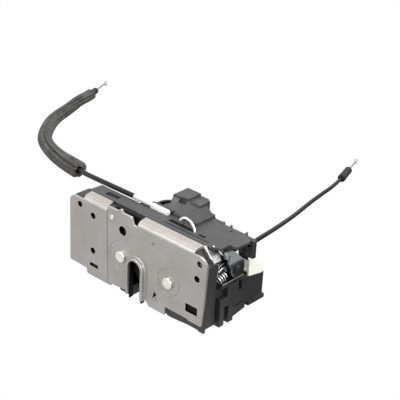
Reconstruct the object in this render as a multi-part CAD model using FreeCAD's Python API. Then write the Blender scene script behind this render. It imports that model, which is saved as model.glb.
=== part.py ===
import FreeCAD, Part
import math
import os
from FreeCAD import Vector

os.makedirs("parts", exist_ok=True)

# Tailgate lock with its actuator. Millimetres.
# +X runs along the front plate, +Y goes into the lock, +Z is up.
# The origin is on the plate's front face, inside the top of the striker slot.

# Clearances
FIT = 0.05            # a pin in its hole, all round
GAP = 0.35            # between parts that pass each other
SEAT = 0.3            # between a part and what carries it, where it may move
REACH = 1.0           # how far a cutting tool runs past what it cuts

# Front plate
PLATE_T = 2.0
PLATE_LEFT = -69.4
PLATE_RIGHT = 70.0
PLATE_TAPER = 2.5
PLATE_FOOT = -30.4
EAR_TOP = 31.0
EAR_ROUND = 5.5
LEFT_EAR_FOOT = -25.9
LEFT_EAR_W = 18.4
RIGHT_FOOT_Z = -24.2
FOOT_NOTCH_W = 22.0
FOOT_NOTCH_IN = 15.8
FOOT_NOTCH_TOP = -23.4
CORNER_R = 1.0
FLANGE_TOP = 34.2
FLANGE_BACK = 10.4
BEND_R = 4.2
LEFT_FLANGE_IN = 15.0
LEFT_FLANGE_END = -29.0
LEFT_FLANGE_LEAN = (-2.2, -4.4)
RIGHT_FLANGE_START = 2.6
RIGHT_FLANGE_IN = 12.7
RIGHT_FLANGE_LEAN = (-1.8, 0.0)
TONGUE_TOP = 35.6
TONGUE_LEFT = -28.3
TONGUE_RIGHT = -1.6
TONGUE_STEP = 1.2
TONGUE_TAB_W = 5.0
TONGUE_TAB_X = -14.8
TONGUE_TAB_H = 2.6
CREASE_X = (-27.1, -29.0)
CREASE_W = 0.7
CREASE_DEEP = 0.4

# Striker slot
SLOT_X = 2.8
SLOT_W = 12.9
SLOT_ARCH_Z = 3.1
SLOT_FOOT = -27.4
COLLAR_H = 3.2
COLLAR_W = 2.0
COLLAR_ROUND = 0.9
COLLAR_FLARE = 1.0
ELBOW_TOP = 4.1
ELBOW_FOOT = 6.4
FOOT_STEP = 21.0
LINER_T = 0.85
LINER_IN = 2.0

# Holes in the plate
TAP_R = 2.5
TAP_BOSS_R = 4.1
TAP_LENGTH = 4.6
LEFT_TAP_IN = 25.4
LEFT_TAP_Z = -8.4
LEFT_TAP_PITCH = 29.9
RIGHT_TAP_IN = 8.6
RIGHT_TAP_Z = 12.7
LEFT_EAR_HOLE_IN = 11.1
LEFT_EAR_HOLE_Z = 26.1
RIGHT_EAR_HOLE_IN = 6.8
RIGHT_EAR_HOLE_Z = 25.2
EAR_HOLE_R = 2.4
VIEW_HOLE = (-12.6, 21.2)
VIEW_HOLE_R = 3.7
WINDOW_L = (22.3, 8.9)
WINDOW_L_Z = (-22.3, -19.2)
WINDOW_R = (6.8, 11.3)
WINDOW_R_Z = (-17.4, -10.8)
LANCE = ((21.0, -15.2), (23.4, -17.2), (19.4, -22.2))
LANCE_TAB = ((19.8, -22.6), (22.9, -18.6), (23.0, -22.4))
LANCE_PROUD = 0.7
EMBOSS = (17.3, 33.0)
EMBOSS_Z = 22.2
EMBOSS_W = 5.2
EMBOSS_DEEP = 0.7
SEAM_LINE = ((-5.9, 20.6), (7.8, 11.3))
SEAM_W = 0.3
RING_W = 0.45
RING_DEEP = 0.25
CLAW_RING_R = 12.0
PAWL_RING_R = 10.3

# Rotary claw: angles are taken from the pin, in the closed position
SEAT_REACH = 16.0
CLAW_Z = -0.1
CLAW_SWING = 48
CLAW_FRONT = 4.0
CLAW_T = 5.5
CLAW_JAW_R = 24.0
CLAW_LAND_R = 22.0
CLAW_ROOT_R = 17.5
CLAW_BACK_R = 20.0
MOUTH_HALF = 5.5
MOUTH_DROP = 4.4
JAW_BACK = (18, 30)
LATCH_ANGLE = 63
LATCH_TOOTH = 7
HALF_LATCH_ANGLE = 84
HALF_TOOTH = 9.5
RAMP = 3
OPEN_RECESS_END = 113
LOWER_JAW_END = -72
LOWER_JAW_LEAD = 30
SKIN_T = 1.2
SKIN_RIM = 1.0

# Pawl
PIN_PITCH = 48.1
PIN_DROP = 1.5
PAWL_LIFT = 7
PAWL_TIP = 10.7
PAWL_TIP_R = 17.9
PAWL_ARM_R = 22.6
PAWL_ARM_W = 4.9
PAWL_BOSS_R = 7.5
PAWL_TAIL = (13.0, -7.0)
PAWL_TAIL_R = 2.6

# Springs behind the claw and the pawl
FLAT_WIRE_R = 0.5
FLAT_PITCH = 1.06
FLAT_TURNS = 1.5
CLAW_COIL_R = 6.0
PAWL_COIL_R = 5.4

# Pins
PIN_R = 3.5
PIN_HEAD_R = 4.4
PIN_HEAD_H = 2.2
PIN_EDGE = 0.5
PIN_TAIL_R = 4.2
PIN_TAIL_H = 1.2
RIVET_X = -23.6
RIVET_Z = 28.6
RIVET_R = 1.9
RIVET_END_H = 0.7
RIVET_HEAD_R = 2.6
RIVET_HEAD_H = 0.7

# Latch housing
LATCH_LEFT_IN = 2.2
LATCH_RIGHT_IN = 3.0
LATCH_BACK = 15.0
LATCH_FLOOR_T = 2.0
LATCH_UNDER = 0.2
LATCH_FOOT = -28.6
LATCH_LOW = -31.0
LATCH_LOW_W = 12.4
LATCH_WALL = 1.8
STRIP_OUT = 1.9
STRIP_T = 1.3
STRIP_FOOT = -30.4
STRIP_DROP = 4.0
SERRATION_PITCH = 3.1
SERRATION_DEEP = 1.1
SERRATION_END = -8.0
CORNER_CUT = 10.8
SHOULDER = (11.3, 15.6)
CHAMBER_SIDE = 6.0
CHAMBER_FOOT = 15.0
TOP_WINDOW = (-29.0, 1.2)
TOP_WINDOW_DEEP = 6.5
BUFFER_T = 1.6

# Back plate
BACK_T = 2.0
BACK_LEFT = -33.0
BACK_RIGHT_IN = 5.0
BACK_TOP = 29.0
BACK_FOOT = -24.0
BACK_ROUND = 3.0
TAB_T = 2.8
TAB_FRONT = 9.6
TAB_LOW = (1.6, -8.0)
TAB_HIGH = (-5.8, -0.2)
TAB_ROUND = 0.6
TAB_ROOT = 6.0

# Actuator housing
CASE_WALL = 1.8
CASE_LEFT_IN = 10.4
CASE_LEFT_BACK = 22.0
CASE_MID_LEFT = -13.3
CASE_MID_RIGHT = 43.0
CASE_MID_BACK = 49.5
CASE_CORNER_R = 11.0
CASE_FOOT = -31.0
CASE_LEFT_FOOT = -24.0
BAY_LONG = 13.0
BAY_BACK = 45.0
BAY_WALL = 1.6
BAY_SILL = 3.0
BAY_DIP = 2.5
BAY_DIP_Y = 32.0
LEG_SLOT = (22.0, 26.5)
LEG_SLOT_TOP = -16.0
LEG_BACK = 32.0
SKIRT_FOOT = -27.0
SKIRT_RISE = 1.4
GROOVE_Z = -20.5
GROOVE_W = 1.2
POCKET_A = (16.9, 24.5)
POCKET_B = (36.5, 40.5)
POCKET_TOP = 0.5
POCKET_FOOT = -8.5
POCKET_DEEP = 5.0
CORNER_OUT = 6.0
CORNER_FRONT = 42.5
CORNER_FOOT = 18.2
CORNER_IN = 4.0

SCREW_IN = 19.4
SCREW_Z = (19.0, -15.0)
SCREW_R = 1.7
SCREW_HEAD_R = 3.4
SCREW_HEAD_H = 2.2
SCREW_GRIP = 7.0

# Top cover
DECK_T = 2.0
STRIP_FRONT = 11.4
STRIP_LEFT_IN = 9.4
STRIP_BACK = 23.3
COVER_END_IN = 1.0
COVER_REAR = 44.6
COVER_STEP_Y = 24.6
SHELF_T = 1.2
CHANNEL_BACK = 28.3
CHANNEL_RIGHT = 12.0
WELL_FRONT = 34.0
PAD = (12.0, 35.2, 26.8, 47.6)
PAD_H = 2.2
SIDE_PAD = (-1.6, 10.2, 43.2)
PAD_ROUND = 0.8
BLOCK_LEFT = 4.6
BLOCK_RIGHT = 25.8
BLOCK_SPLIT = 17.6
BLOCK_FRONT = (34.3, 37.6, 41.0)
BLOCK_BACK = 50.4
BLOCK_H = 12.0
BLOCK_DROP = 1.6
RAMP_FRONT = 29.4
RAMP_BACK = 46.0
NOTCHES = ((10.2, 16.4, 33.0, 37.0, 2.6), (13.6, 16.2, 38.6, 41.0, 1.4), (22.6, 25.0, 40.0, 42.6, 4.2))
NOTCH_TALL = 2.0
RECT_HOLE = (-47.0, -34.0, 14.8, 19.6)
LONG_SLOT = (14.6, 40.4, 19.0, 22.4)
SHORT_SLOT = (43.8, 50.4, 18.4, 20.8)
DIMPLE_AT = (57.0, 40.0)
DIMPLE_R = 1.1
DIMPLE_DEEP = 0.8
TOOTH_X = (44.5, 51.5, 66.0)
TOOTH_W = 1.6
TOOTH_OUT = 1.3
TOOTH_UP = 1.2

# Motor and reduction gear
MOTOR_R = 10.0
MOTOR_FLAT = 7.6
MOTOR_L = 27.0
MOTOR_CAP_R = 4.0
MOTOR_CAP_H = 2.0
MOTOR_Y = 32.6
MOTOR_Z = -14.0
SHAFT_R = 1.0
CRADLE = (0.0, 16.0)
CRADLE_DROP = 3.0
WEB_A = 20.0
WEB_B = 33.0
WEB_T = 2.0
MODULE = 0.7
PRESSURE_ANGLE = 20
PINION_TEETH = 12
GEAR_TEETH = 36
BACKLASH = 0.3
PINION_W = 6.0
GEAR_W = 4.0
AXLE_R = 2.0
HUB_R = 4.2
CAM_R = 2.2
CAM_OUT = 7.4
CAM_H = 2.4

# Circuit board and switch
BOARD_X = (36.0, 54.4)
BOARD_Z = (-24.0, 26.0)
BOARD_T = 1.4
SWITCH = (12.8, 5.8, 6.5)
SWITCH_Z = 6.0
PLUNGER_R = 1.0
PLUNGER_OUT = 1.2

# Release slider under the top cover
SLIDER_X = (8.0, 41.0)
SLIDER_Y = (19.65, 21.7)
SLIDER_H = 5.2
SLIDER_TRAVEL = 8.0
LEDGE_T = 1.6
LOOP_LEG_X = 39.3
LOOP_BENDS = ((39.0, 3.6), (36.6, 7.6), (29.6, 8.2), (25.6, 4.6))
LOOP_WIRE_R = 0.9

# Outer release lever
LEVER_Y = 37.2
LEVER_Z = 9.6
LEVER_IN = 4.4
LEVER_T = 2.2
LEVER_R = 7.4
LEVER_BOSS_R = 5.6
LEVER_PIN_R = 3.0
LEVER_HEAD_R = 4.9
LEVER_HEAD_H = 1.4
LEVER_STEP_R = 3.4
LEVER_STEP_H = 0.6
LEVER_ARM = (
    (5.6, 5.5, 0), (-7.0, 17.2, 1.6), (-14.5, 17.6, 2.0), (-14.5, 12.0, 1.2), (-11.6, 12.0, 0),
    (-11.2, 14.2, 1.0), (-8.6, 13.6, 1.0), (-10.2, 6.4, 1.0), (-5.0, -4.0, 0))
LEVER_FOLD = ((2.4, 8.4), (-7.0, 17.2), (-7.9, 16.2), (1.5, 7.5))
FOLD_W = 2.6
COIL_Y = 24.6
COIL_Z = 10.4
COIL_R = 5.6
COIL_WIRE_R = 0.75
COIL_TURNS = 3
COIL_PITCH = 2.1
POST_R = 4.2
POST_OUT = 7.7
BRACKET_OUT = 3.4
BRACKET_T = 1.6
BRACKET_POST_R = 2.4
BRACKET_POST = (25.0, 20.0)
BRACKET = ((21.0, 17.4), (21.0, 28.6), (30.0, 28.6), (34.0, 22.0), (31.0, 17.4))

# Connector
SOCKET_LONG = 26.0
SOCKET_Y = (46.6, 64.6)
SOCKET_TOP = -3.0
SOCKET_FOOT = -22.0
LIP_FOOT = -25.2
LIP_OUT = 1.2
SOCKET_WALL = 2.2
SOCKET_DEEP = 13.0
PIN_COUNT = 8
CONTACT = 0.7
CONTACT_LONG = 8.0
CONTACT_EDGE = 2.5
CONTACT_ROW = 2.6
IVORY_LONG = 15.6
IVORY_SLOPE = ((46.9, 14.4), (49.6, 12.6), (63.4, 4.2))
IVORY_TONGUE_FRONT = 43.3
IVORY_TONGUE_TOP = 13.4
IVORY_TONGUE_IN = 5.2

# Cable to the inside release
CABLE1_R = 2.0
CABLE1_Y = 25.6
CABLE1_Z = 37.4
ANCHOR_RIGHT = 9.4
ANCHOR_LEFT = -9.0
ANCHOR_W = 4.0
ANCHOR_TOP = 38.4
FERRULE_LEFT = -26.0
FERRULE_STEP = -18.0
FERRULE_R = 2.4
CAP1_AT = (-309.4, 240.7, -27.0)
END1_ANGLE = 111.2
CAP_R = 3.3
CAP_COLLAR = 0.5
CAP_COLLAR_W = 3.0
CAP1_L = 20.0
WIRE_R = 0.75
WIRE_PLAY = 0.2
WIRE_TO = 34.6
WIRE_IN = 12.0
NIPPLE_R = 2.3
NIPPLE_L = 8.0
NIPPLE_EDGE = 0.5
SLEEVE_R = 5.6
SLEEVE_FROM = 2
ARC_SHARE = 0.45     # of the shorter run beside a bend, which the bend's arc takes up

# Cable to the outside handle
CABLE2_R = 1.65
CABLE2_Y = 48.5
GLAND_OUT = 1.0
GLAND_Z = 28.0
GLAND_R = 3.6
GLAND_SUNK = 2.0
GLAND_NOSE = 1.4
CAP2_AT = (-9.6, 274.0, -27.0)
END2_ANGLE = 107.3
CAP2_L = 32.0

# Derived sizes
SLOT_R = SLOT_W / 2
ARCH_CENTRE = SLOT_ARCH_Z - SLOT_R
CLAW_X = SLOT_X - SEAT_REACH
PAWL_X = CLAW_X + PIN_PITCH
PAWL_Z = CLAW_Z - PIN_DROP
PIVOTS = ((CLAW_X, CLAW_Z), (PAWL_X, PAWL_Z))
LEFT_FLANGE = (PLATE_LEFT + LEFT_FLANGE_IN, LEFT_FLANGE_END)
RIGHT_FLANGE = (RIGHT_FLANGE_START, PLATE_RIGHT - RIGHT_FLANGE_IN)
FOOT_NOTCH = (PLATE_RIGHT - FOOT_NOTCH_IN - FOOT_NOTCH_W, PLATE_RIGHT - FOOT_NOTCH_IN)
LEFT_TAP_X = PLATE_LEFT + LEFT_TAP_IN
TAPS = ((LEFT_TAP_X, LEFT_TAP_Z), (LEFT_TAP_X, LEFT_TAP_Z + LEFT_TAP_PITCH), (PLATE_RIGHT - RIGHT_TAP_IN, RIGHT_TAP_Z))
EAR_HOLES = ((PLATE_LEFT + LEFT_EAR_HOLE_IN, LEFT_EAR_HOLE_Z), (PLATE_RIGHT - RIGHT_EAR_HOLE_IN, RIGHT_EAR_HOLE_Z))
WINDOWS = ((PLATE_LEFT + WINDOW_L[0], PLATE_LEFT + sum(WINDOW_L), *WINDOW_L_Z),
           (PLATE_RIGHT - sum(WINDOW_R), PLATE_RIGHT - WINDOW_R[0], *WINDOW_R_Z))
LATCH_LEFT = PLATE_LEFT + LATCH_LEFT_IN
LATCH_RIGHT = PLATE_RIGHT - LATCH_RIGHT_IN
LATCH_TOP = FLANGE_TOP - PLATE_T - LATCH_UNDER
STRIP_RIGHT = LATCH_RIGHT + STRIP_OUT
FLOOR_Y = LATCH_BACK - LATCH_FLOOR_T
CLAW_BACK = CLAW_FRONT + CLAW_T
BACK_Y = LATCH_BACK + BACK_T
COVER_FOOT = LATCH_TOP
COVER_TOP = COVER_FOOT + DECK_T
PAD_TOP = COVER_TOP + PAD_H
BLOCK_TOP = COVER_TOP + BLOCK_H
SHELF_TOP = COVER_FOOT + SHELF_T
CASE_LEFT = PLATE_LEFT + CASE_LEFT_IN
CASE_END = PLATE_RIGHT
CASE_REAR_BACK = BAY_BACK + BAY_WALL
BAY_LEFT = CASE_END - BAY_LONG
COVER_END = CASE_END - COVER_END_IN
COVER_WIDE = CASE_END + CORNER_OUT
SCREWS = tuple((PLATE_LEFT + SCREW_IN, z) for z in SCREW_Z)
GEAR_Y = MOTOR_Y
GEAR_Z = MOTOR_Z + MODULE * (PINION_TEETH + GEAR_TEETH) / 2
PINION_X = WEB_A + WEB_T + 2
GEAR_X = PINION_X + (PINION_W - GEAR_W) / 2
SLIDER_TOP = COVER_FOOT - GAP
SLIDER_Z = (SLIDER_TOP - SLIDER_H, SLIDER_TOP)
LEDGE_Z = (SLIDER_Z[0] - SEAT - LEDGE_T, SLIDER_Z[0] - SEAT)
LEVER_X = CASE_END - LEVER_IN
SOCKET = (CASE_END - SOCKET_LONG, CASE_END, *SOCKET_Y)
GLAND_X = CASE_END + GLAND_OUT
END1 = (math.cos(math.radians(END1_ANGLE)), math.sin(math.radians(END1_ANGLE)))
END2 = (math.cos(math.radians(END2_ANGLE)), math.sin(math.radians(END2_ANGLE)))

# The inside cable's route: straight out of its ferrule, down in a long curve to the table
ROUTE1 = [
    (FERRULE_LEFT, CABLE1_Y, CABLE1_Z), (-55, 25.8, 36.6), (-96, 34, 29), (-146, 55, 18), (-195, 83, 5),
    (-234, 117, -6), (-267, 157, -15), (-290, 199, -22), (-303, 224, -24.6), CAP1_AT]
# The outside cable's route: out of the rear corner and down to the table
ROUTE2 = [
    (GLAND_X, CABLE2_Y, GLAND_Z), (69.6, 64, 27.6), (64, 87, 24), (52, 122, 15.5), (35, 164, 4.5),
    (15, 212, -10), (-1.5, 251, -23), CAP2_AT]


def box(x, y, z):
    """A block between two values on each axis."""
    return Part.makeBox(x[1] - x[0], y[1] - y[0], z[1] - z[0], Vector(x[0], y[0], z[0]))


def rod(start, direction, radius, length):
    return Part.makeCylinder(radius, length, Vector(*start), Vector(*direction))


def ring(start, direction, outer, inner, length):
    return rod(start, direction, outer, length).cut(rod(start, direction, inner, length))


def rounded(corners, place):
    """A closed wire through (u, v, radius) corners, each rounded by a tangent arc."""
    spots = [Vector(c[0], c[1], 0) for c in corners]
    edges = []
    ends = []
    for i, spot in enumerate(spots):
        back = spots[i - 1] - spot
        on = spots[(i + 1) % len(spots)] - spot
        radius = corners[i][2]
        if radius <= 0 or back.getAngle(on) > math.pi - 1e-6:
            ends.append((spot, spot, None))
            continue
        half = back.getAngle(on) / 2
        reach = radius / math.tan(half)
        back.normalize()
        on.normalize()
        middle = (back + on).normalize()
        mid = spot + middle * (radius / math.sin(half) - radius)
        ends.append((spot + back * reach, spot + on * reach, mid))
    for i, (first, last, mid) in enumerate(ends):
        if mid is not None:
            edges.append(Part.Arc(place(first), place(mid), place(last)).toShape())
        start = ends[(i + 1) % len(ends)][0]
        if (start - last).Length > 1e-6:
            edges.append(Part.LineSegment(place(last), place(start)).toShape())
    return Part.Wire(edges)


def slab(corners, y):
    """An outline of x and z, as thick as y says."""
    wire = rounded(corners, lambda p: Vector(p.x, y[0], p.y))
    return Part.Face(wire).extrude(Vector(0, y[1] - y[0], 0))


def deck(corners, z):
    """An outline of x and y, as high as z says."""
    wire = rounded(corners, lambda p: Vector(p.x, p.y, z[0]))
    return Part.Face(wire).extrude(Vector(0, 0, z[1] - z[0]))


def side(corners, x):
    """An outline of y and z, as wide as x says."""
    wire = rounded(corners, lambda p: Vector(x[0], p.x, p.y))
    return Part.Face(wire).extrude(Vector(x[1] - x[0], 0, 0))


def block(u, v, radius=0):
    """The four corners of a rectangle."""
    return [(u[0], v[0], radius), (u[1], v[0], radius), (u[1], v[1], radius), (u[0], v[1], radius)]


def join(*solids):
    whole = solids[0]
    for solid in solids[1:]:
        whole = whole.fuse(solid)
    return whole.removeSplitter()


def save(name, shape):
    shape.exportStep("parts/" + name + ".step")


def polar(radius, angle):
    """A point about the claw's pin, in the plane of the plate."""
    turn = math.radians(angle)
    return (CLAW_X + radius * math.cos(turn), CLAW_Z + radius * math.sin(turn))


def turned(shape, x, z, angle):
    """Turn about an axis along Y, counter-clockwise as seen from the front."""
    copy = shape.copy()
    copy.rotate(Vector(x, 0, z), Vector(0, -1, 0), angle)
    return copy


def slot_cut(grow, y, foot):
    """The striker slot: two straight sides and a round arch."""
    reach = SLOT_R + grow
    head = rod((SLOT_X, y[0], ARCH_CENTRE), (0, 1, 0), reach, y[1] - y[0])
    return head.fuse(box((SLOT_X - reach, SLOT_X + reach), y, (foot, ARCH_CENTRE)))


def between(left, right, low, high, grow=0.0):
    """A rectangle of x and z, as corners."""
    return block((left - grow, right + grow), (low - grow, high + grow))


def collar():
    """The slot's raised rim: one profile turned over the arch and drawn down both sides."""
    profile = rounded([
        (SLOT_R, PLATE_T, 0), (SLOT_R + COLLAR_W + 2 * COLLAR_FLARE, PLATE_T, 0),
        (SLOT_R + COLLAR_W + 2 * COLLAR_FLARE, 0, 0), (SLOT_R + COLLAR_W, 0, COLLAR_FLARE),
        (SLOT_R + COLLAR_W, -COLLAR_H, COLLAR_ROUND), (SLOT_R, -COLLAR_H, 0)],
        lambda p: Vector(SLOT_X + p.x, p.y, ARCH_CENTRE))
    face = Part.Face(profile)
    axis = Vector(SLOT_X, 0, ARCH_CENTRE)
    arch = face.revolve(axis, Vector(0, -1, 0), 180)
    right = face.extrude(Vector(0, 0, SLOT_FOOT - ARCH_CENTRE))
    left = right.copy()
    left.rotate(axis, Vector(0, 0, 1), 180)
    left = left.mirror(axis, Vector(0, 1, 0))
    return join(arch, right, left)


def face_plate():
    """The steel plate: two folded flanges, a tongue between them, the slot's rim and the holes."""
    steel = (0, PLATE_T)
    bend_z = FLANGE_TOP - BEND_R
    slot_left = SLOT_X - SLOT_R
    slot_right = SLOT_X + SLOT_R
    ear_end = PLATE_LEFT + LEFT_EAR_W
    outline = [
        (PLATE_LEFT, LEFT_EAR_FOOT, CORNER_R), (PLATE_LEFT, EAR_TOP, EAR_ROUND), (LEFT_FLANGE[0], EAR_TOP, 0),
        (LEFT_FLANGE[0], bend_z, 0), (LEFT_FLANGE[1], bend_z, 0), (TONGUE_LEFT, bend_z, 0),
        (TONGUE_LEFT, TONGUE_TOP, CORNER_R), (TONGUE_RIGHT - TAB_T, TONGUE_TOP, 2 * CORNER_R),
        (TONGUE_RIGHT, bend_z, CORNER_R), (RIGHT_FLANGE[0], bend_z, 0), (RIGHT_FLANGE[1], bend_z, 0),
        (RIGHT_FLANGE[1], EAR_TOP, 0), (PLATE_RIGHT, EAR_TOP, EAR_ROUND + PLATE_T),
        (PLATE_RIGHT, bend_z - CORNER_CUT, 0), (PLATE_RIGHT - PLATE_TAPER, RIGHT_FOOT_Z, CORNER_R),
        (FOOT_NOTCH[1] + TONGUE_STEP, RIGHT_FOOT_Z, 0), (FOOT_NOTCH[1], FOOT_NOTCH_TOP, 0),
        (FOOT_NOTCH[0], FOOT_NOTCH_TOP, 0), (FOOT_NOTCH[0], PLATE_FOOT, CORNER_R),
        (slot_right + ELBOW_FOOT, PLATE_FOOT, CORNER_R), (slot_right + ELBOW_TOP, SLOT_FOOT, 0),
        (slot_left - ELBOW_TOP, SLOT_FOOT, 0), (slot_left - FOOT_STEP, SLOT_FOOT - CORNER_R, 0),
        (slot_left - FOOT_STEP, PLATE_FOOT, 0), (ear_end + TONGUE_STEP, PLATE_FOOT, CORNER_R),
        (ear_end, LEFT_EAR_FOOT, CORNER_R)]
    plate = slab(outline, steel)
    for flange, lean in ((LEFT_FLANGE, LEFT_FLANGE_LEAN), (RIGHT_FLANGE, RIGHT_FLANGE_LEAN)):
        plate = plate.fuse(folded_flange(flange, lean, bend_z))
    tab_x = (TONGUE_TAB_X - TONGUE_TAB_W / 2, TONGUE_TAB_X + TONGUE_TAB_W / 2)
    tab = [(tab_x[0], TONGUE_TOP - REACH, 0), (tab_x[0], TONGUE_TOP + TONGUE_TAB_H / 2, 0),
           (TONGUE_TAB_X, TONGUE_TOP + TONGUE_TAB_H, CORNER_R), (tab_x[1], TONGUE_TOP - REACH, 0)]
    plate = plate.fuse(slab(tab, steel)).fuse(collar())
    plate = plate.fuse(slab([(x, z, 0) for x, z in LANCE_TAB], (-LANCE_PROUD, PLATE_T)))
    for x, z in TAPS:
        plate = plate.fuse(rod((x, PLATE_T, z), (0, 1, 0), TAP_BOSS_R, TAP_LENGTH - PLATE_T))
    for tool in plate_holes() + plate_grooves(bend_z):
        plate = plate.cut(tool)
    return plate.removeSplitter()


def folded_flange(flange, lean, bend_z):
    """A flange folded back over the housing, with its ends cut at a slant."""
    inner = BEND_R - PLATE_T
    fold = [
        (0, bend_z, 0), (0, FLANGE_TOP, BEND_R - FIT), (FLANGE_BACK, FLANGE_TOP, 0),
        (FLANGE_BACK, FLANGE_TOP - PLATE_T, 0), (PLATE_T, FLANGE_TOP - PLATE_T, inner - FIT), (PLATE_T, bend_z, 0)]
    whole = side(fold, (flange[0] + min(lean[0], 0), flange[1] + max(lean[1], 0)))
    plan = [(flange[0], 0, 0), (flange[1], 0, 0), (flange[1] + lean[1], FLANGE_BACK, 0),
            (flange[0] + lean[0], FLANGE_BACK, 0)]
    return whole.common(deck(plan, (bend_z, FLANGE_TOP)))


def plate_holes():
    """All that goes through the plate."""
    front = -COLLAR_H - REACH
    depth = TAP_LENGTH - front + REACH
    holes = [slot_cut(0, (front, TAP_LENGTH + REACH), PLATE_FOOT - REACH)]
    bores = [(x, z, TAP_R) for x, z in TAPS] + [(x, z, EAR_HOLE_R) for x, z in EAR_HOLES]
    bores += [(*VIEW_HOLE, VIEW_HOLE_R), (RIVET_X, RIVET_Z, RIVET_R + FIT)]
    bores += [(x, z, PIN_HEAD_R + FIT) for x, z in PIVOTS]
    for x, z, radius in bores:
        holes.append(rod((x, front, z), (0, 1, 0), radius, depth))
    for left, right, low, high in WINDOWS:
        holes.append(slab(between(left, right, low, high), (front, depth)))
    holes.append(slab([(x, z, 0) for x, z in LANCE], (front, depth)))
    return holes


def plate_grooves(bend_z):
    """The lines and the half-pressed slot in the plate's face."""
    grooves = []
    rim = SLOT_R + COLLAR_W + 2 * COLLAR_FLARE
    for (x, z), radius in zip(PIVOTS, (CLAW_RING_R, PAWL_RING_R)):
        groove = ring((x, 0, z), (0, 1, 0), radius + RING_W, radius, RING_DEEP)
        grooves.append(groove.cut(slot_cut(rim - SLOT_R, (-REACH, PLATE_T), PLATE_FOOT)))
    half = EMBOSS_W / 2
    pressed = slab(block(EMBOSS, (EMBOSS_Z - half, EMBOSS_Z + half), half - FIT), (0, EMBOSS_DEEP))
    wedge = deck([(EMBOSS[0], 0, 0), (EMBOSS[1], 0, 0), (EMBOSS[0], EMBOSS_DEEP, 0)], (EMBOSS_Z - half, EMBOSS_Z + half))
    grooves.append(pressed.common(wedge))
    grooves.append(line_groove((CREASE_X[0], PLATE_FOOT - REACH), (CREASE_X[1], bend_z + REACH), CREASE_W, CREASE_DEEP))
    grooves.append(line_groove(*SEAM_LINE, SEAM_W, RING_DEEP))
    return grooves


def line_groove(start, end, width, deep):
    """A straight groove in the plate's face."""
    along = Vector(end[0] - start[0], end[1] - start[1], 0)
    across = Vector(-along.y, along.x, 0).normalize() * (width / 2)
    corners = [(start[0] + across.x, start[1] + across.y, 0), (end[0] + across.x, end[1] + across.y, 0),
               (end[0] - across.x, end[1] - across.y, 0), (start[0] - across.x, start[1] - across.y, 0)]
    return slab(corners, (0, deep))


def claw_outline(y, shrink=0.0):
    """The claw in its closed position, as a slab."""
    def at(radius, angle):
        x, z = polar(radius - shrink, angle)
        return Vector(x, y[0], z)

    def arc(radius, first, last):
        return Part.Arc(at(radius, first), at(radius, (first + last) / 2), at(radius, last)).toShape()

    def line(a, b):
        return Part.LineSegment(a, b).toShape()

    seat_x = CLAW_X + SEAT_REACH
    seat_z = CLAW_Z - MOUTH_DROP
    half = MOUTH_HALF + shrink
    jaw = CLAW_JAW_R - shrink
    top = math.degrees(math.asin((half - MOUTH_DROP) / jaw))
    low = math.degrees(math.asin((-half - MOUTH_DROP) / jaw))
    marks = [
        (CLAW_JAW_R, top, JAW_BACK[0]), (CLAW_ROOT_R, JAW_BACK[1], LATCH_ANGLE),
        (CLAW_LAND_R, LATCH_ANGLE, LATCH_ANGLE + LATCH_TOOTH),
        (CLAW_ROOT_R, LATCH_ANGLE + LATCH_TOOTH + RAMP, HALF_LATCH_ANGLE),
        (CLAW_LAND_R, HALF_LATCH_ANGLE, HALF_LATCH_ANGLE + HALF_TOOTH),
        (CLAW_ROOT_R, HALF_LATCH_ANGLE + HALF_TOOTH + RAMP, OPEN_RECESS_END),
        (CLAW_BACK_R, OPEN_RECESS_END + RAMP, 360 + LOWER_JAW_END - LOWER_JAW_LEAD),
        (CLAW_JAW_R, 360 + LOWER_JAW_END, 360 + low)]
    edges = []
    last = None
    for radius, first, end in marks:
        if last is not None:
            edges.append(line(last, at(radius, first)))
        edges.append(arc(radius, first, end))
        last = at(radius, end)
    lower = Vector(seat_x, y[0], seat_z - half)
    upper = Vector(seat_x, y[0], seat_z + half)
    edges.append(line(last, lower))
    edges.append(Part.Arc(lower, Vector(seat_x - half, y[0], seat_z), upper).toShape())
    edges.append(line(upper, at(CLAW_JAW_R, top)))
    return Part.Face(Part.Wire(edges)).extrude(Vector(0, y[1] - y[0], 0))


def claw():
    """The steel fork, turned to its open position."""
    body = claw_outline((CLAW_FRONT, CLAW_BACK))
    body = body.cut(rod((CLAW_X, 0, CLAW_Z), (0, 1, 0), PIN_R + FIT, LATCH_BACK))
    return turned(body, CLAW_X, CLAW_Z, -CLAW_SWING)


def claw_cover():
    """The plastic skin on the front of the claw, which quietens it."""
    skin = claw_outline((CLAW_FRONT - SKIN_T, CLAW_FRONT), SKIN_RIM)
    skin = skin.cut(rod((CLAW_X, 0, CLAW_Z), (0, 1, 0), PIN_R + FIT, LATCH_BACK))
    return turned(skin, CLAW_X, CLAW_Z, -CLAW_SWING)


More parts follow.
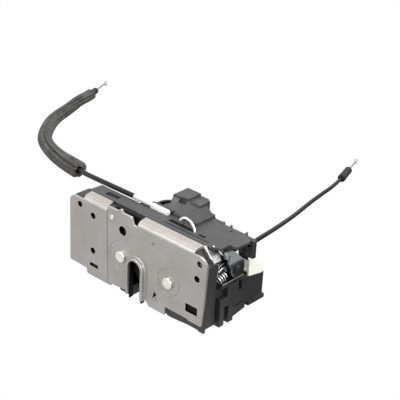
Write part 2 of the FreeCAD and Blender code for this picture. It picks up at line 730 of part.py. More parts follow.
def pawl_outline(y, shrink=0.0):
    """The pawl where it holds the claw closed, as a slab."""
    left = LATCH_ANGLE - math.degrees(SEAT / PAWL_TIP_R) - 0.3
    right = left - PAWL_TIP
    across = math.radians(LATCH_ANGLE - right)
    tip = [
        polar(PAWL_TIP_R + shrink, left), polar(PAWL_ARM_R + PAWL_ARM_W - shrink, left),
        (PAWL_X + 3, PAWL_Z + PAWL_BOSS_R - 1), (PAWL_X, PAWL_Z), (PAWL_X - 4, PAWL_Z + 2.5),
        polar(PAWL_ARM_R / math.cos(across), right), polar(PAWL_TIP_R + shrink, right)]
    corners = [(x, z, PAD_ROUND if i < 2 else 0) for i, (x, z) in enumerate(tip)]
    arm = slab(corners, y)
    boss = rod((PAWL_X, y[0], PAWL_Z), (0, 1, 0), PAWL_BOSS_R - shrink, y[1] - y[0])
    tail_x = PAWL_X + PAWL_TAIL[0]
    tail_z = PAWL_Z + PAWL_TAIL[1]
    tail = slab([(PAWL_X - 2, PAWL_Z + 5, 0), (PAWL_X + 3, PAWL_Z + 6, 0), (tail_x + PAWL_TAIL_R, tail_z + 1, 1.5),
                 (tail_x - 2, tail_z - PAWL_TAIL_R, 1.5), (PAWL_X - 2, PAWL_Z - 6, 0)], y)
    return join(boss, arm, tail)


def pawl():
    """The steel pawl, lifted off the claw."""
    body = pawl_outline((CLAW_FRONT, CLAW_BACK))
    body = body.cut(rod((PAWL_X, 0, PAWL_Z), (0, 1, 0), PIN_R + FIT, LATCH_BACK))
    return turned(body, PAWL_X, PAWL_Z, -PAWL_LIFT)


def pawl_cover():
    skin = pawl_outline((CLAW_FRONT - SKIN_T, CLAW_FRONT), SKIN_RIM)
    skin = skin.cut(rod((PAWL_X, 0, PAWL_Z), (0, 1, 0), PIN_R + FIT, LATCH_BACK))
    return turned(skin, PAWL_X, PAWL_Z, -PAWL_LIFT)


def pivot_pin(x, z):
    """A pin whose thick end stands through the plate, and whose tail is riveted behind the back plate."""
    head = rod((x, -PIN_HEAD_H, z), (0, 1, 0), PIN_HEAD_R, PIN_HEAD_H + PLATE_T)
    head = head.makeFillet(PIN_EDGE, [e for e in head.Edges if abs(e.BoundBox.YMax + PIN_HEAD_H) < FIT])
    shank = rod((x, 0, z), (0, 1, 0), PIN_R, BACK_Y)
    tail = rod((x, BACK_Y, z), (0, 1, 0), PIN_TAIL_R, PIN_TAIL_H)
    return join(head, shank, tail)


def torsion_spring(centre, direction, radius, wire, turns, pitch):
    """A coil of round wire on a straight axis, bent half turn by half turn."""
    halves = []
    for i in range(int(2 * turns)):
        side_x = radius if i % 2 == 0 else -radius
        start = Vector(side_x, 0, i * pitch / 2)
        middle = Vector(0, side_x, (i + 0.5) * pitch / 2)
        end = Vector(-side_x, 0, (i + 1) * pitch / 2)
        halves.append(Part.Arc(start, middle, end).toShape())
    line = Part.Wire(halves)
    section = Part.Wire([Part.makeCircle(wire, Vector(radius, 0, 0), Vector(0, 1, 0))])
    coil = line.makePipeShell([section], True, True)
    turn = FreeCAD.Rotation(Vector(0, 0, 1), Vector(*direction))
    coil.Placement = FreeCAD.Placement(Vector(*centre), turn)
    return coil


def latch_housing():
    """The plastic tray behind the plate that holds the claw and the pawl."""
    front = PLATE_T
    low_left = SLOT_X - SLOT_R - LATCH_LOW_W
    outline = [
        (LATCH_LEFT, LATCH_FOOT + CORNER_R, 2), (LATCH_LEFT, LATCH_TOP, 4),
        (LATCH_RIGHT - CORNER_CUT, LATCH_TOP, 0), (LATCH_RIGHT, LATCH_TOP - CORNER_CUT, 0),
        (LATCH_RIGHT, LATCH_FOOT - CORNER_R, CORNER_R), (FOOT_NOTCH[1] - REACH, LATCH_FOOT - CORNER_R, CORNER_R),
        (FOOT_NOTCH[0] + CHAMBER_SIDE, LATCH_LOW, CORNER_R), (FOOT_NOTCH[0] + REACH, LATCH_LOW, 0),
        (FOOT_NOTCH[0] - REACH, LATCH_FOOT, 0), (SLOT_X, LATCH_FOOT, 0), (SLOT_X, LATCH_LOW, 0),
        (low_left, LATCH_LOW, CORNER_R), (low_left, LATCH_FOOT, 0)]
    tray = slab(outline, (front, LATCH_BACK)).fuse(serrated_strip(front))
    bend = BEND_R - front + GAP
    tray = tray.cut(side([
        (front - REACH, LATCH_TOP + REACH, 0), (front + bend, LATCH_TOP + REACH, 0), (front + bend, LATCH_TOP, 0),
        (front, LATCH_TOP - bend, 0), (front - REACH, LATCH_TOP - bend, 0)],
        (LATCH_LEFT - REACH, LATCH_RIGHT + REACH)))
    inside = (front, FLOOR_Y)
    tools = [rod((CLAW_X, front, CLAW_Z), (0, 1, 0), CLAW_JAW_R + GAP, FLOOR_Y - front)]
    tools.append(slab(chamber(), inside))
    tools.append(slot_cut(0, (front, LATCH_BACK), LATCH_LOW - REACH))
    tools.append(box(TOP_WINDOW, (front, FLANGE_BACK), (LATCH_TOP - TOP_WINDOW_DEEP, LATCH_TOP + REACH)))
    for x, z in PIVOTS:
        tools.append(rod((x, FLOOR_Y - REACH, z), (0, 1, 0), PIN_R + FIT, LATCH_FLOOR_T + 2 * REACH))
    for x, z in TAPS:
        tools.append(rod((x, front, z), (0, 1, 0), TAP_BOSS_R + FIT, TAP_LENGTH - front + SEAT))
        tools.append(rod((x, front, z), (0, 1, 0), TAP_R + REACH, FLOOR_Y - front))
    for left, right, low, high in WINDOWS:
        tools.append(slab(between(left, right, low, high, -REACH / 2), inside))
    for x, z in EAR_HOLES:
        tools.append(rod((x, front, z), (0, 1, 0), EAR_HOLE_R - SEAT, CHAMBER_SIDE))
    for x, z in SCREWS:
        tools.append(rod((x, LATCH_BACK - SCREW_GRIP, z), (0, 1, 0), SCREW_R + FIT, SCREW_GRIP + REACH))
    tools.append(rod((RIVET_X, front, RIVET_Z), (0, 1, 0), RIVET_HEAD_R + GAP, RIVET_HEAD_H + GAP))
    for tool in tools:
        tray = tray.cut(tool)
    return keep_largest(tray.removeSplitter())


def serrated_strip(front):
    """The toothed strip down the tray's right edge."""
    top = LATCH_TOP - CORNER_CUT - STRIP_DROP
    strip = slab(block((LATCH_RIGHT - STRIP_DROP, STRIP_RIGHT), (STRIP_FOOT, top), CORNER_R), (front, front + STRIP_T))
    bite_z = top - SERRATION_PITCH / 2
    while bite_z > SERRATION_END:
        strip = strip.cut(box((STRIP_RIGHT - SERRATION_DEEP, STRIP_RIGHT + REACH), (front, front + STRIP_T),
                              (bite_z - SERRATION_PITCH / 2, bite_z)))
        bite_z -= SERRATION_PITCH
    return strip


def chamber():
    """The room of the pawl and its arm, as an outline of x and z."""
    top = LATCH_TOP - LATCH_WALL
    right = PAWL_X + PAWL_TAIL[0] + CHAMBER_SIDE
    arm_x = PAWL_X - PIN_PITCH + CLAW_JAW_R + CHAMBER_SIDE
    return [
        (CLAW_X + REACH, CLAW_Z, 0), (CLAW_X + REACH, top, 2), (arm_x, top, 2),
        (PAWL_X + SHOULDER[0], PAWL_Z + SHOULDER[1], 3), (right, PAWL_Z + 2 * REACH, 3),
        (right, PAWL_Z - CHAMBER_FOOT, 3), (PAWL_X - PAWL_TAIL_R, PAWL_Z - CHAMBER_FOOT + 2 * REACH, 3),
        (PAWL_X - PAWL_BOSS_R - STRIP_DROP, PAWL_Z, 3), (arm_x, CLAW_Z + CORNER_CUT, 3),
        (CLAW_X + CLAW_JAW_R + 2 * REACH, CLAW_Z, 0)]


def keep_largest(shape):
    """The main solid, without the slivers that a cut leaves free."""
    return max(shape.Solids, key=lambda solid: solid.Volume)


def striker_buffer():
    """The black band that lines the slot, and the rubber stop at the slot's end behind the claw."""
    front = (LINER_IN - COLLAR_H, CLAW_FRONT - SKIN_T - GAP)
    band = slot_cut(-FIT, front, LATCH_LOW)
    band = band.cut(slot_cut(-LINER_T, (front[0] - REACH, front[1] + REACH), LATCH_LOW - REACH))
    rear = (FLOOR_Y + FIT, LATCH_BACK)
    stop = rod((SLOT_X, rear[0], ARCH_CENTRE), (0, 1, 0), SLOT_R - FIT, rear[1] - rear[0])
    stop = stop.cut(rod((SLOT_X, rear[0] - REACH, ARCH_CENTRE), (0, 1, 0), SLOT_R - BUFFER_T, LATCH_BACK))
    below = box((SLOT_X - SLOT_W, SLOT_X + SLOT_W), (rear[0] - REACH, rear[1] + REACH),
                (ARCH_CENTRE - SLOT_W, ARCH_CENTRE))
    return Part.makeCompound([band, stop.cut(below)])


def back_plate():
    """The inner steel plate that carries the pins, with the tab that folds round the corner."""
    right = LATCH_RIGHT - BACK_RIGHT_IN
    low = Vector(LATCH_RIGHT + TAB_LOW[0], LATCH_TOP + TAB_LOW[1], 0)
    high = Vector(LATCH_RIGHT + TAB_HIGH[0], LATCH_TOP + TAB_HIGH[1], 0)
    outline = [
        (BACK_LEFT, BACK_FOOT, BACK_ROUND), (BACK_LEFT, BACK_TOP, BACK_ROUND), (high.x - TAB_ROOT, BACK_TOP, 0),
        (high.x + REACH, high.y - TAB_T, 0), (low.x - TAB_T, low.y + REACH, 0), (right, low.y - TAB_ROOT, 0),
        (right, BACK_FOOT, BACK_ROUND)]
    plate = slab(outline, (LATCH_BACK, BACK_Y))
    along = (low - high).normalize()
    inward = Vector(along.y, -along.x, 0) * TAB_T
    tab = slab([
        (high.x, high.y, TAB_ROUND), (low.x, low.y, TAB_ROUND), (low.x + inward.x, low.y + inward.y, TAB_ROUND),
        (high.x + inward.x, high.y + inward.y, TAB_ROUND)], (TAB_FRONT, BACK_Y))
    plate = plate.fuse(tab)
    plate = plate.cut(slot_cut(0, (LATCH_BACK - REACH, BACK_Y + REACH), BACK_FOOT - REACH))
    for x, z in PIVOTS:
        plate = plate.cut(rod((x, LATCH_BACK - REACH, z), (0, 1, 0), PIN_R + FIT, BACK_T + 2 * REACH))
    return plate.removeSplitter()


def case_plan():
    """The plan of the actuator's casing, from above."""
    return [
        (CASE_LEFT, BACK_Y, 0), (CASE_END, BACK_Y, 0), (CASE_END, CASE_REAR_BACK, 2),
        (CASE_MID_RIGHT, CASE_REAR_BACK, 0), (CASE_MID_RIGHT, CASE_MID_BACK, 2),
        (CASE_MID_LEFT, CASE_MID_BACK, CASE_CORNER_R), (CASE_MID_LEFT, CASE_LEFT_BACK + CASE_CORNER_R, 4),
        (CASE_MID_LEFT - CASE_CORNER_R, CASE_LEFT_BACK, 4), (CASE_LEFT, CASE_LEFT_BACK, 1)]


def actuator_housing():
    """The deep plastic casing: a wall round the motor, an open bay at its end and the connector."""
    case = deck(case_plan(), (CASE_FOOT, COVER_FOOT))
    end = (BAY_LEFT, CASE_END + REACH)
    above = COVER_FOOT + REACH
    below = CASE_FOOT - REACH
    floor = CASE_FOOT + CASE_WALL
    inner_left = CASE_MID_LEFT + CASE_WALL
    inner_front = BACK_Y + CASE_WALL
    corner_r = CASE_CORNER_R - CASE_WALL
    step_y = CASE_REAR_BACK - CASE_WALL
    # the shallow left arm, the skirt's two legs and its raised edge
    case = case.cut(box((CASE_LEFT - REACH, CASE_MID_LEFT - CASE_CORNER_R), (BACK_Y - REACH, CASE_MID_BACK),
                        (below, CASE_LEFT_FOOT)))
    case = case.cut(side(block(LEG_SLOT, (below, LEG_SLOT_TOP)), end))
    case = case.cut(side([(LEG_BACK, below, 0), (LEG_BACK, SKIRT_FOOT - REACH, 0),
                          (CASE_REAR_BACK + REACH, SKIRT_FOOT + SKIRT_RISE, 0), (CASE_REAR_BACK + REACH, below, 0)], end))
    case = case.cut(box((CASE_END - GROOVE_W, CASE_END + REACH), (LEG_BACK, BAY_BACK), (GROOVE_Z, GROOVE_Z + GROOVE_W)))
    # the hollow for the motor and the gear
    case = case.cut(deck([
        (inner_left, inner_front, 0), (BAY_LEFT - CASE_WALL, inner_front, 0), (BAY_LEFT - CASE_WALL, step_y, 0),
        (CASE_MID_RIGHT - CASE_WALL, step_y, 0), (CASE_MID_RIGHT - CASE_WALL, CASE_MID_BACK - CASE_WALL, 0),
        (inner_left, CASE_MID_BACK - CASE_WALL, corner_r)], (floor, above)))
    # the bay of the outer lever, open to the front, the side and the cover
    case = case.cut(side([
        (BACK_Y - REACH, BAY_SILL, 0), (BACK_Y - REACH, above, 0), (BAY_BACK, above, 0),
        (BAY_BACK, BAY_SILL - REACH, 0), (BAY_DIP_Y, BAY_SILL - BAY_DIP, 3)], end))
    window = box((BAY_LEFT, CASE_END + REACH), (BAY_BACK - REACH, CASE_REAR_BACK + REACH),
                 (BAY_SILL, IVORY_TONGUE_TOP + GAP))
    case = case.cut(window)
    root = BAY_LEFT - CASE_WALL / 2
    case = case.fuse(rod((root, COIL_Y, COIL_Z), (1, 0, 0), POST_R, POST_OUT + CASE_WALL / 2))
    case = case.fuse(rod((root, LEVER_Y, LEVER_Z), (1, 0, 0), LEVER_BOSS_R, LEVER_X - SEAT - root))
    for pocket in (POCKET_A, POCKET_B):
        case = case.cut(box((CASE_END - POCKET_DEEP, CASE_END + REACH), pocket, (POCKET_FOOT, POCKET_TOP)))
    for rib in motor_ribs(inner_front, floor):
        case = case.fuse(rib)
    case = case.fuse(socket_shell()).removeSplitter().cut(socket_room())
    # the rear corner that holds the outer cable
    corner = deck([(BAY_LEFT + CORNER_IN, CORNER_FRONT, 0), (COVER_WIDE, CORNER_FRONT, CORNER_R),
                   (COVER_WIDE, CASE_REAR_BACK, CORNER_R), (BAY_LEFT + CORNER_IN, CASE_REAR_BACK, 0)],
                  (CORNER_FOOT, COVER_FOOT))
    case = case.fuse(corner)
    case = case.cut(rod((GLAND_X, CORNER_FRONT - REACH, GLAND_Z), (0, 1, 0), CABLE2_R + GAP, BAY_BACK))
    case = case.cut(rod((GLAND_X, CASE_REAR_BACK - GLAND_SUNK, GLAND_Z), (0, 1, 0), GLAND_R + FIT, BAY_BACK))
    for x, z in PIVOTS:
        case = case.cut(rod((x, BACK_Y - FIT, z), (0, 1, 0), PIN_TAIL_R + GAP, PIN_TAIL_H + GAP))
    for x, z in SCREWS:
        case = case.cut(rod((x, BACK_Y - REACH, z), (0, 1, 0), SCREW_R + FIT, CASE_LEFT_BACK))
    case = case.cut(rod((BAY_LEFT - REACH, LEVER_Y, LEVER_Z), (1, 0, 0), LEVER_PIN_R + FIT, BAY_LONG))
    return keep_largest(case.removeSplitter())


def motor_ribs(front, floor):
    """The ribs that carry the motor, the gear's axle and the slider."""
    ribs = []
    back = CASE_MID_BACK - CASE_WALL + FIT
    for x in (WEB_A, WEB_B):
        web = box((x, x + WEB_T), (front - FIT, back), (floor - FIT, LEDGE_Z[1]))
        web = web.cut(rod((x - REACH, GEAR_Y, GEAR_Z), (1, 0, 0), AXLE_R + FIT, WEB_T + 2 * REACH))
        ribs.append(web.cut(rod((x - REACH, MOTOR_Y, MOTOR_Z), (1, 0, 0), SHAFT_R + REACH, WEB_T + 2 * REACH)))
    ribs.append(box((SLIDER_X[0] - SLIDER_TRAVEL, SLIDER_X[1] + REACH), (front - REACH, SLIDER_Y[1] + GAP), LEDGE_Z))
    cradle = box(CRADLE, (front - REACH, back), (floor - FIT, MOTOR_Z - CRADLE_DROP))
    ribs.append(cradle.cut(motor_body(2 * FIT)))
    return ribs


def socket_shell():
    """The outside of the connector, under the rear of the lock."""
    shell = box(SOCKET[:2], (SOCKET[2] - REACH, SOCKET[3]), (SOCKET_FOOT, SOCKET_TOP))
    lip = box((SOCKET[0] - LIP_OUT, SOCKET[1] + LIP_OUT), (SOCKET[2] + REACH, SOCKET[3] + LIP_OUT),
              (LIP_FOOT, SOCKET_FOOT))
    return shell.fuse(lip)


def socket_room():
    return box((SOCKET[0] + SOCKET_WALL, SOCKET[1] - SOCKET_WALL), (SOCKET[2] + SOCKET_WALL, SOCKET[3] - SOCKET_WALL),
               (LIP_FOOT - REACH, LIP_FOOT + SOCKET_DEEP))


def top_cover():
    """The cover: a front strip, a raised pad and the high block behind it."""
    plan = [
        (PLATE_LEFT + STRIP_LEFT_IN, STRIP_FRONT, 1), (COVER_END - CORNER_CUT, STRIP_FRONT, 1),
        (COVER_END, STRIP_FRONT + STRIP_DROP, 1), (COVER_END, COVER_STEP_Y, 0), (COVER_WIDE - REACH, COVER_STEP_Y, 1),
        (COVER_WIDE, CORNER_FRONT - STRIP_DROP, 2), (COVER_END, COVER_REAR, 2), (CASE_MID_RIGHT - STRIP_DROP, COVER_REAR, 0),
        (PAD[1], PAD[3], 0), (BLOCK_RIGHT, CASE_MID_BACK, 0), (BLOCK_LEFT, CASE_MID_BACK, 0),
        (BLOCK_LEFT, RAMP_BACK, 0), (SIDE_PAD[0], WELL_FRONT, 1), (CASE_MID_LEFT, WELL_FRONT - REACH, 1),
        (CASE_MID_LEFT, CHANNEL_BACK, 1), (CHANNEL_RIGHT, CHANNEL_BACK, 0), (CHANNEL_RIGHT, STRIP_BACK, 0),
        (PLATE_LEFT + STRIP_LEFT_IN + REACH, STRIP_BACK, 1)]
    cover = deck(plan, (COVER_FOOT, COVER_TOP))
    shelf = box((CASE_MID_LEFT - CORNER_OUT, CHANNEL_RIGHT + REACH), (STRIP_BACK - REACH, CHANNEL_BACK + REACH),
                (COVER_FOOT, SHELF_TOP))
    pad = deck(block(PAD[:2], PAD[2:], PAD_ROUND), (COVER_FOOT, PAD_TOP))
    side_pad = deck([(SIDE_PAD[0], CHANNEL_BACK, PAD_ROUND), (SIDE_PAD[1], CHANNEL_BACK, PAD_ROUND),
                     (SIDE_PAD[1], SIDE_PAD[2], 0), (PAD[0] + REACH, SIDE_PAD[2], 0), (PAD[0] + REACH, RAMP_BACK, 0),
                     (BLOCK_LEFT, RAMP_BACK, 0), (SIDE_PAD[0], WELL_FRONT, PAD_ROUND)], (COVER_FOOT, PAD_TOP))
    cover = join(cover, shelf, pad, side_pad, high_block())
    for x in TOOTH_X:
        tooth = side([(COVER_REAR - REACH, COVER_FOOT, 0), (COVER_REAR + TOOTH_OUT, COVER_FOOT, 0),
                      (COVER_REAR + TOOTH_OUT, COVER_TOP + TOOTH_UP, 0), (COVER_REAR - REACH, COVER_TOP, 0)], (x, x + TOOTH_W))
        cover = cover.fuse(tooth)
    for left, right, near, far in (RECT_HOLE, LONG_SLOT, SHORT_SLOT):
        hole = deck(block((left, right), (near, far), COLLAR_FLARE / 2), (COVER_FOOT - REACH, COVER_TOP + REACH))
        cover = cover.cut(hole)
    for left, right, near, far, down in NOTCHES:
        cover = cover.cut(box((left, right), (near, far), (BLOCK_TOP - down - NOTCH_TALL, BLOCK_TOP - down + REACH)))
    cover = cover.cut(rod((DIMPLE_AT[0], DIMPLE_AT[1], COVER_TOP - DIMPLE_DEEP), (0, 0, 1), DIMPLE_R, 2 * REACH))
    bed = box((FERRULE_LEFT, ANCHOR_RIGHT + GAP), (CABLE1_Y - ANCHOR_W / 2 - GAP, CABLE1_Y + ANCHOR_W / 2 + GAP),
              (SHELF_TOP, BLOCK_TOP))
    return cover.cut(bed).removeSplitter()


def high_block():
    """Two steps of the block at the rear, and the ramp that climbs to them from the pad."""
    step_z = BLOCK_TOP - BLOCK_DROP
    first, middle, last = BLOCK_FRONT
    high = deck([(BLOCK_LEFT, first, 0), (BLOCK_SPLIT, middle, 0), (BLOCK_SPLIT, BLOCK_BACK, 0),
                 (BLOCK_LEFT, BLOCK_BACK, 0)], (COVER_TOP, BLOCK_TOP))
    low = deck([(BLOCK_SPLIT - REACH, middle, 0), (BLOCK_RIGHT, last, 0), (BLOCK_RIGHT, BLOCK_BACK, PAD_ROUND),
                (BLOCK_SPLIT - REACH, BLOCK_BACK, 0)], (COVER_TOP, step_z))
    foot = rounded([(BLOCK_LEFT, RAMP_FRONT, 0), (PAD[1] - REACH, RAMP_FRONT, 0), (PAD[1] - REACH, RAMP_BACK, 0),
                    (BLOCK_LEFT, RAMP_BACK, 0)], lambda p: Vector(p.x, p.y, PAD_TOP))
    top = rounded([(BLOCK_LEFT, first, 0), (BLOCK_RIGHT, last, 0), (BLOCK_RIGHT, RAMP_BACK - REACH, 0),
                   (BLOCK_LEFT, RAMP_BACK - REACH, 0)], lambda p: Vector(p.x, p.y, step_z))
    ramp = Part.makeLoft([foot, top], True, True)
    return join(high, low, ramp)


def motor_body(grow=0.0):
    """The motor's can: round with two flats."""
    radius = MOTOR_R + grow
    flat = MOTOR_FLAT + grow
    start = WEB_A - MOTOR_L
    can = rod((start, MOTOR_Y, MOTOR_Z), (1, 0, 0), radius, MOTOR_L)
    return can.common(box((start, WEB_A), (MOTOR_Y - radius, MOTOR_Y + radius), (MOTOR_Z - flat, MOTOR_Z + flat)))


def motor():
    can = motor_body()
    cap = rod((WEB_A - MOTOR_L - MOTOR_CAP_H, MOTOR_Y, MOTOR_Z), (1, 0, 0), MOTOR_CAP_R, MOTOR_CAP_H)
    return join(can, cap)


def involute(base, roll, start):
    """A point on an involute of a base circle."""
    reach = base * math.hypot(1, roll)
    angle = start + roll - math.atan(roll)
    return reach, angle


def gear_solid(teeth, x, width, centre_y, centre_z, phase):
    """A spur gear about an axis along X, with involute flanks and a little backlash."""
    pitch_r = MODULE * teeth / 2
    base = pitch_r * math.cos(math.radians(PRESSURE_ANGLE))
    tip = pitch_r + MODULE * 0.9
    root = pitch_r - MODULE * 1.2
    pitch_roll = math.sqrt((pitch_r / base) ** 2 - 1)
    tip_roll = math.sqrt((tip / base) ** 2 - 1)
    half = math.pi / teeth / 2 - BACKLASH / 4 / pitch_r
    offset = pitch_roll - math.atan(pitch_roll)

    def at(radius, angle):
        return Vector(x, centre_y + radius * math.cos(angle), centre_z + radius * math.sin(angle))

    edges = []
    step = 2 * math.pi / teeth
    for i in range(teeth):
        mid = phase + i * step
        flank = [involute(base, roll, -half - offset) for roll in (0, tip_roll / 2, tip_roll)]
        left = [at(reach, mid + angle) for reach, angle in flank]
        right = [at(reach, mid - angle) for reach, angle in reversed(flank)]
        foot = -half - offset
        low = min(root, base - FIT)
        first = at(low, mid + foot)
        last = at(low, mid - foot)
        edges.append(Part.LineSegment(first, left[0]).toShape())
        edges.append(Part.Arc(*left).toShape())
        edges.append(Part.LineSegment(left[2], right[0]).toShape())
        edges.append(Part.Arc(*right).toShape())
        edges.append(Part.LineSegment(right[2], last).toShape())
        edges.append(Part.LineSegment(last, at(low, mid + step + foot)).toShape())
    return Part.Face(Part.Wire(edges)).extrude(Vector(width, 0, 0))


def motor_pinion():
    """The motor's shaft and pinion, which turn together."""
    wheel = gear_solid(PINION_TEETH, PINION_X, PINION_W, MOTOR_Y, MOTOR_Z, math.pi / 2)
    start = WEB_A + WIRE_PLAY
    shaft = rod((start, MOTOR_Y, MOTOR_Z), (1, 0, 0), SHAFT_R, PINION_X + PINION_W + REACH - start)
    return join(wheel, shaft)


def drive_gear():
    """The large gear that the pinion turns, with its hub and cam."""
    half_tooth = math.pi / GEAR_TEETH
    wheel = gear_solid(GEAR_TEETH, GEAR_X, GEAR_W, GEAR_Y, GEAR_Z, -math.pi / 2 + half_tooth)
    hub = rod((WEB_A + WEB_T + SEAT, GEAR_Y, GEAR_Z), (1, 0, 0), HUB_R, WEB_B - WEB_A - WEB_T - 2 * SEAT)
    cam = rod((GEAR_X + GEAR_W, GEAR_Y, GEAR_Z + CAM_OUT), (1, 0, 0), CAM_R, CAM_H)
    gear = join(wheel, hub, cam)
    return gear.cut(rod((WEB_A, GEAR_Y, GEAR_Z), (1, 0, 0), AXLE_R + FIT, WEB_B - WEB_A + WEB_T))


def gear_axle():
    return rod((WEB_A, GEAR_Y, GEAR_Z), (1, 0, 0), AXLE_R, WEB_B + WEB_T - WEB_A)


def circuit_board():
    """The board that carries the contacts, upright against the rear wall."""
    wall = CASE_REAR_BACK - CASE_WALL
    return box(BOARD_X, (wall - SEAT - BOARD_T, wall - SEAT), BOARD_Z)


def lock_switch():
    """The small switch on the board, with its plunger."""
    back = CASE_REAR_BACK - CASE_WALL - SEAT - BOARD_T
    mid_x = (BOARD_X[0] + BOARD_X[1]) / 2
    wide, deep, high = SWITCH
    body = box((mid_x - wide / 2, mid_x + wide / 2), (back - deep, back), (SWITCH_Z, SWITCH_Z + high))
    plunger_y = back - deep - PLUNGER_OUT
    plunger = rod((mid_x, plunger_y, SWITCH_Z + high / 2), (0, 1, 0), PLUNGER_R, PLUNGER_OUT)
    return join(body, plunger)


def arc_path(points):
    """Straight runs with tangent arcs between them, and the arcs' radii."""
    spots = [Vector(*p) for p in points]
    edges = []
    radii = []
    last = spots[0]
    for before, spot, after in zip(spots, spots[1:], spots[2:]):
        back = before - spot
        on = after - spot
        turn = math.pi - back.getAngle(on)
        reach = ARC_SHARE * min(back.Length, on.Length)
        radius = reach / math.tan(turn / 2)
        radii.append(radius)
        back.normalize()
        on.normalize()
        first = spot + back * reach
        end = spot + on * reach
        middle = (back + on).normalize()
        mid = spot + middle * (radius / math.cos(turn / 2) - radius)
        edges.append(Part.LineSegment(last, first).toShape())
        edges.append(Part.Arc(first, mid, end).toShape())
        last = end
    edges.append(Part.LineSegment(last, spots[-1]).toShape())
    return Part.Wire(edges), radii


def release_slider():
    """The slider that the inside cable pulls."""
    return box(SLIDER_X, SLIDER_Y, SLIDER_Z)


def release_loop():
    """The bent white wire that stands up through the cover's slot and hooks over to the left."""
    mid_y = (SLIDER_Y[0] + SLIDER_Y[1]) / 2
    foot = (LOOP_LEG_X, mid_y, SLIDER_TOP)
    line, _ = arc_path([foot] + [(x, mid_y, COVER_TOP + rise) for x, rise in LOOP_BENDS])
    section = Part.Wire([Part.makeCircle(LOOP_WIRE_R, Vector(*foot), Vector(0, 0, 1))])
    return line.makePipeShell([section], True, True)


def outer_lever():
    """The zinc-plated lever in the bay, with its hooked arm."""
    x = (LEVER_X, LEVER_X + LEVER_T)
    disc = rod((x[0], LEVER_Y, LEVER_Z), (1, 0, 0), LEVER_R, LEVER_T)
    arm = side([(LEVER_Y + y, LEVER_Z + z, radius) for y, z, radius in LEVER_ARM], x)
    back = side([(LEVER_Y + y, LEVER_Z + z, 0) for y, z in LEVER_FOLD], (x[0] - FOLD_W, x[0]))
    lever = join(disc, arm, back)
    return lever.cut(rod((x[0] - FOLD_W - REACH, LEVER_Y, LEVER_Z), (1, 0, 0), LEVER_PIN_R + FIT, BAY_LONG))


def lever_rivet():
    """The stepped rivet that the outer lever turns on."""
    end = LEVER_X + LEVER_T + SEAT
    shank = rod((BAY_LEFT, LEVER_Y, LEVER_Z), (1, 0, 0), LEVER_PIN_R, end - BAY_LEFT)
    head = rod((end, LEVER_Y, LEVER_Z), (1, 0, 0), LEVER_HEAD_R, LEVER_HEAD_H)
    step = rod((end + LEVER_HEAD_H, LEVER_Y, LEVER_Z), (1, 0, 0), LEVER_STEP_R, LEVER_STEP_H)
    return join(shank, head, step)


def zinc_bracket():
    """The bracket behind the lever that guides the cable's inner wire."""
    x = (BAY_LEFT + BRACKET_OUT, BAY_LEFT + BRACKET_OUT + BRACKET_T)
    web = side([(y, z, COLLAR_FLARE) for y, z in BRACKET], x)
    post_y, post_z = BRACKET_POST
    post = rod((BAY_LEFT, post_y, post_z), (1, 0, 0), BRACKET_POST_R, BRACKET_OUT)
    left, right = BRACKET[1][0], BRACKET[2][0]
    fold = box((x[1], x[1] + FOLD_W), (left, right), (BRACKET[1][1] - BRACKET_T, BRACKET[1][1]))
    return join(web, post, fold)


def ivory_plug():
    """The ivory plastic block on top of the connector, with a tongue that reaches into the bay."""
    front, back = IVORY_SLOPE[0][0], IVORY_SLOPE[2][0]
    profile = [(front, SOCKET_TOP, 0), (back, SOCKET_TOP, 0)] + [(y, z, COLLAR_FLARE) for y, z in reversed(IVORY_SLOPE)]
    body = side(profile, (CASE_END - IVORY_LONG, CASE_END))
    tongue = box((BAY_LEFT + SEAT, CASE_END - IVORY_TONGUE_IN), (IVORY_TONGUE_FRONT, front + REACH),
                 (BAY_SILL + SEAT, IVORY_TONGUE_TOP))
    return join(body, tongue)


def connector_pins():
    """The contact blades in the socket, in two rows."""
    pins = []
    start = SOCKET[0] + SOCKET_WALL + CONTACT_EDGE
    step = (SOCKET[1] - SOCKET_WALL - CONTACT_EDGE - start) / (PIN_COUNT // 2 - 1)
    top = LIP_FOOT + SOCKET_DEEP
    for row in (-1, 1):
        y = (SOCKET[2] + SOCKET[3]) / 2 + row * CONTACT_ROW
        for i in range(PIN_COUNT // 2):
            x = start + i * step
            pins.append(box((x - CONTACT, x + CONTACT), (y - CONTACT / 2, y + CONTACT / 2), (top - CONTACT_LONG, top)))
    return Part.makeCompound(pins)


def tube(points, radius):
    """A round cord along its route."""
    wire, radii = arc_path(points)
    direction = Vector(*points[1]) - Vector(*points[0])
    section = Part.Wire([Part.makeCircle(radius, Vector(*points[0]), direction)])
    solid = wire.makePipeShell([section], True, True)
    ideal = math.pi * radius * radius * wire.Length
    print("cord radii", [round(r) for r in radii], "length", round(wire.Length, 1),
          "volume ratio", round(solid.Volume / ideal, 4))
    return solid


def end_cap(at, way, length):
    """The end fitting of a cable: a body with a bore for the inner wire."""
    direction = (way[0], way[1], 0)
    body = rod(at, direction, CAP_R, length)
    collar_at = (at[0] + way[0] * CAP_COLLAR_W, at[1] + way[1] * CAP_COLLAR_W, at[2])
    cap = join(body, rod(collar_at, direction, CAP_R + CAP_COLLAR, CAP_COLLAR_W))
    reach = length - WIRE_IN
    mouth = (at[0] + way[0] * reach, at[1] + way[1] * reach, at[2])
    return cap.cut(rod(mouth, direction, WIRE_R + WIRE_PLAY, WIRE_IN + REACH))


def inner_wire(at, way, length):
    """The bare wire, from inside the cap to the nipple."""
    inside = length - WIRE_IN + NIPPLE_EDGE
    start = (at[0] + way[0] * inside, at[1] + way[1] * inside, at[2])
    run = length / 2 + WIRE_TO - NIPPLE_L / 2 - inside
    return rod(start, (way[0], way[1], 0), WIRE_R, run)


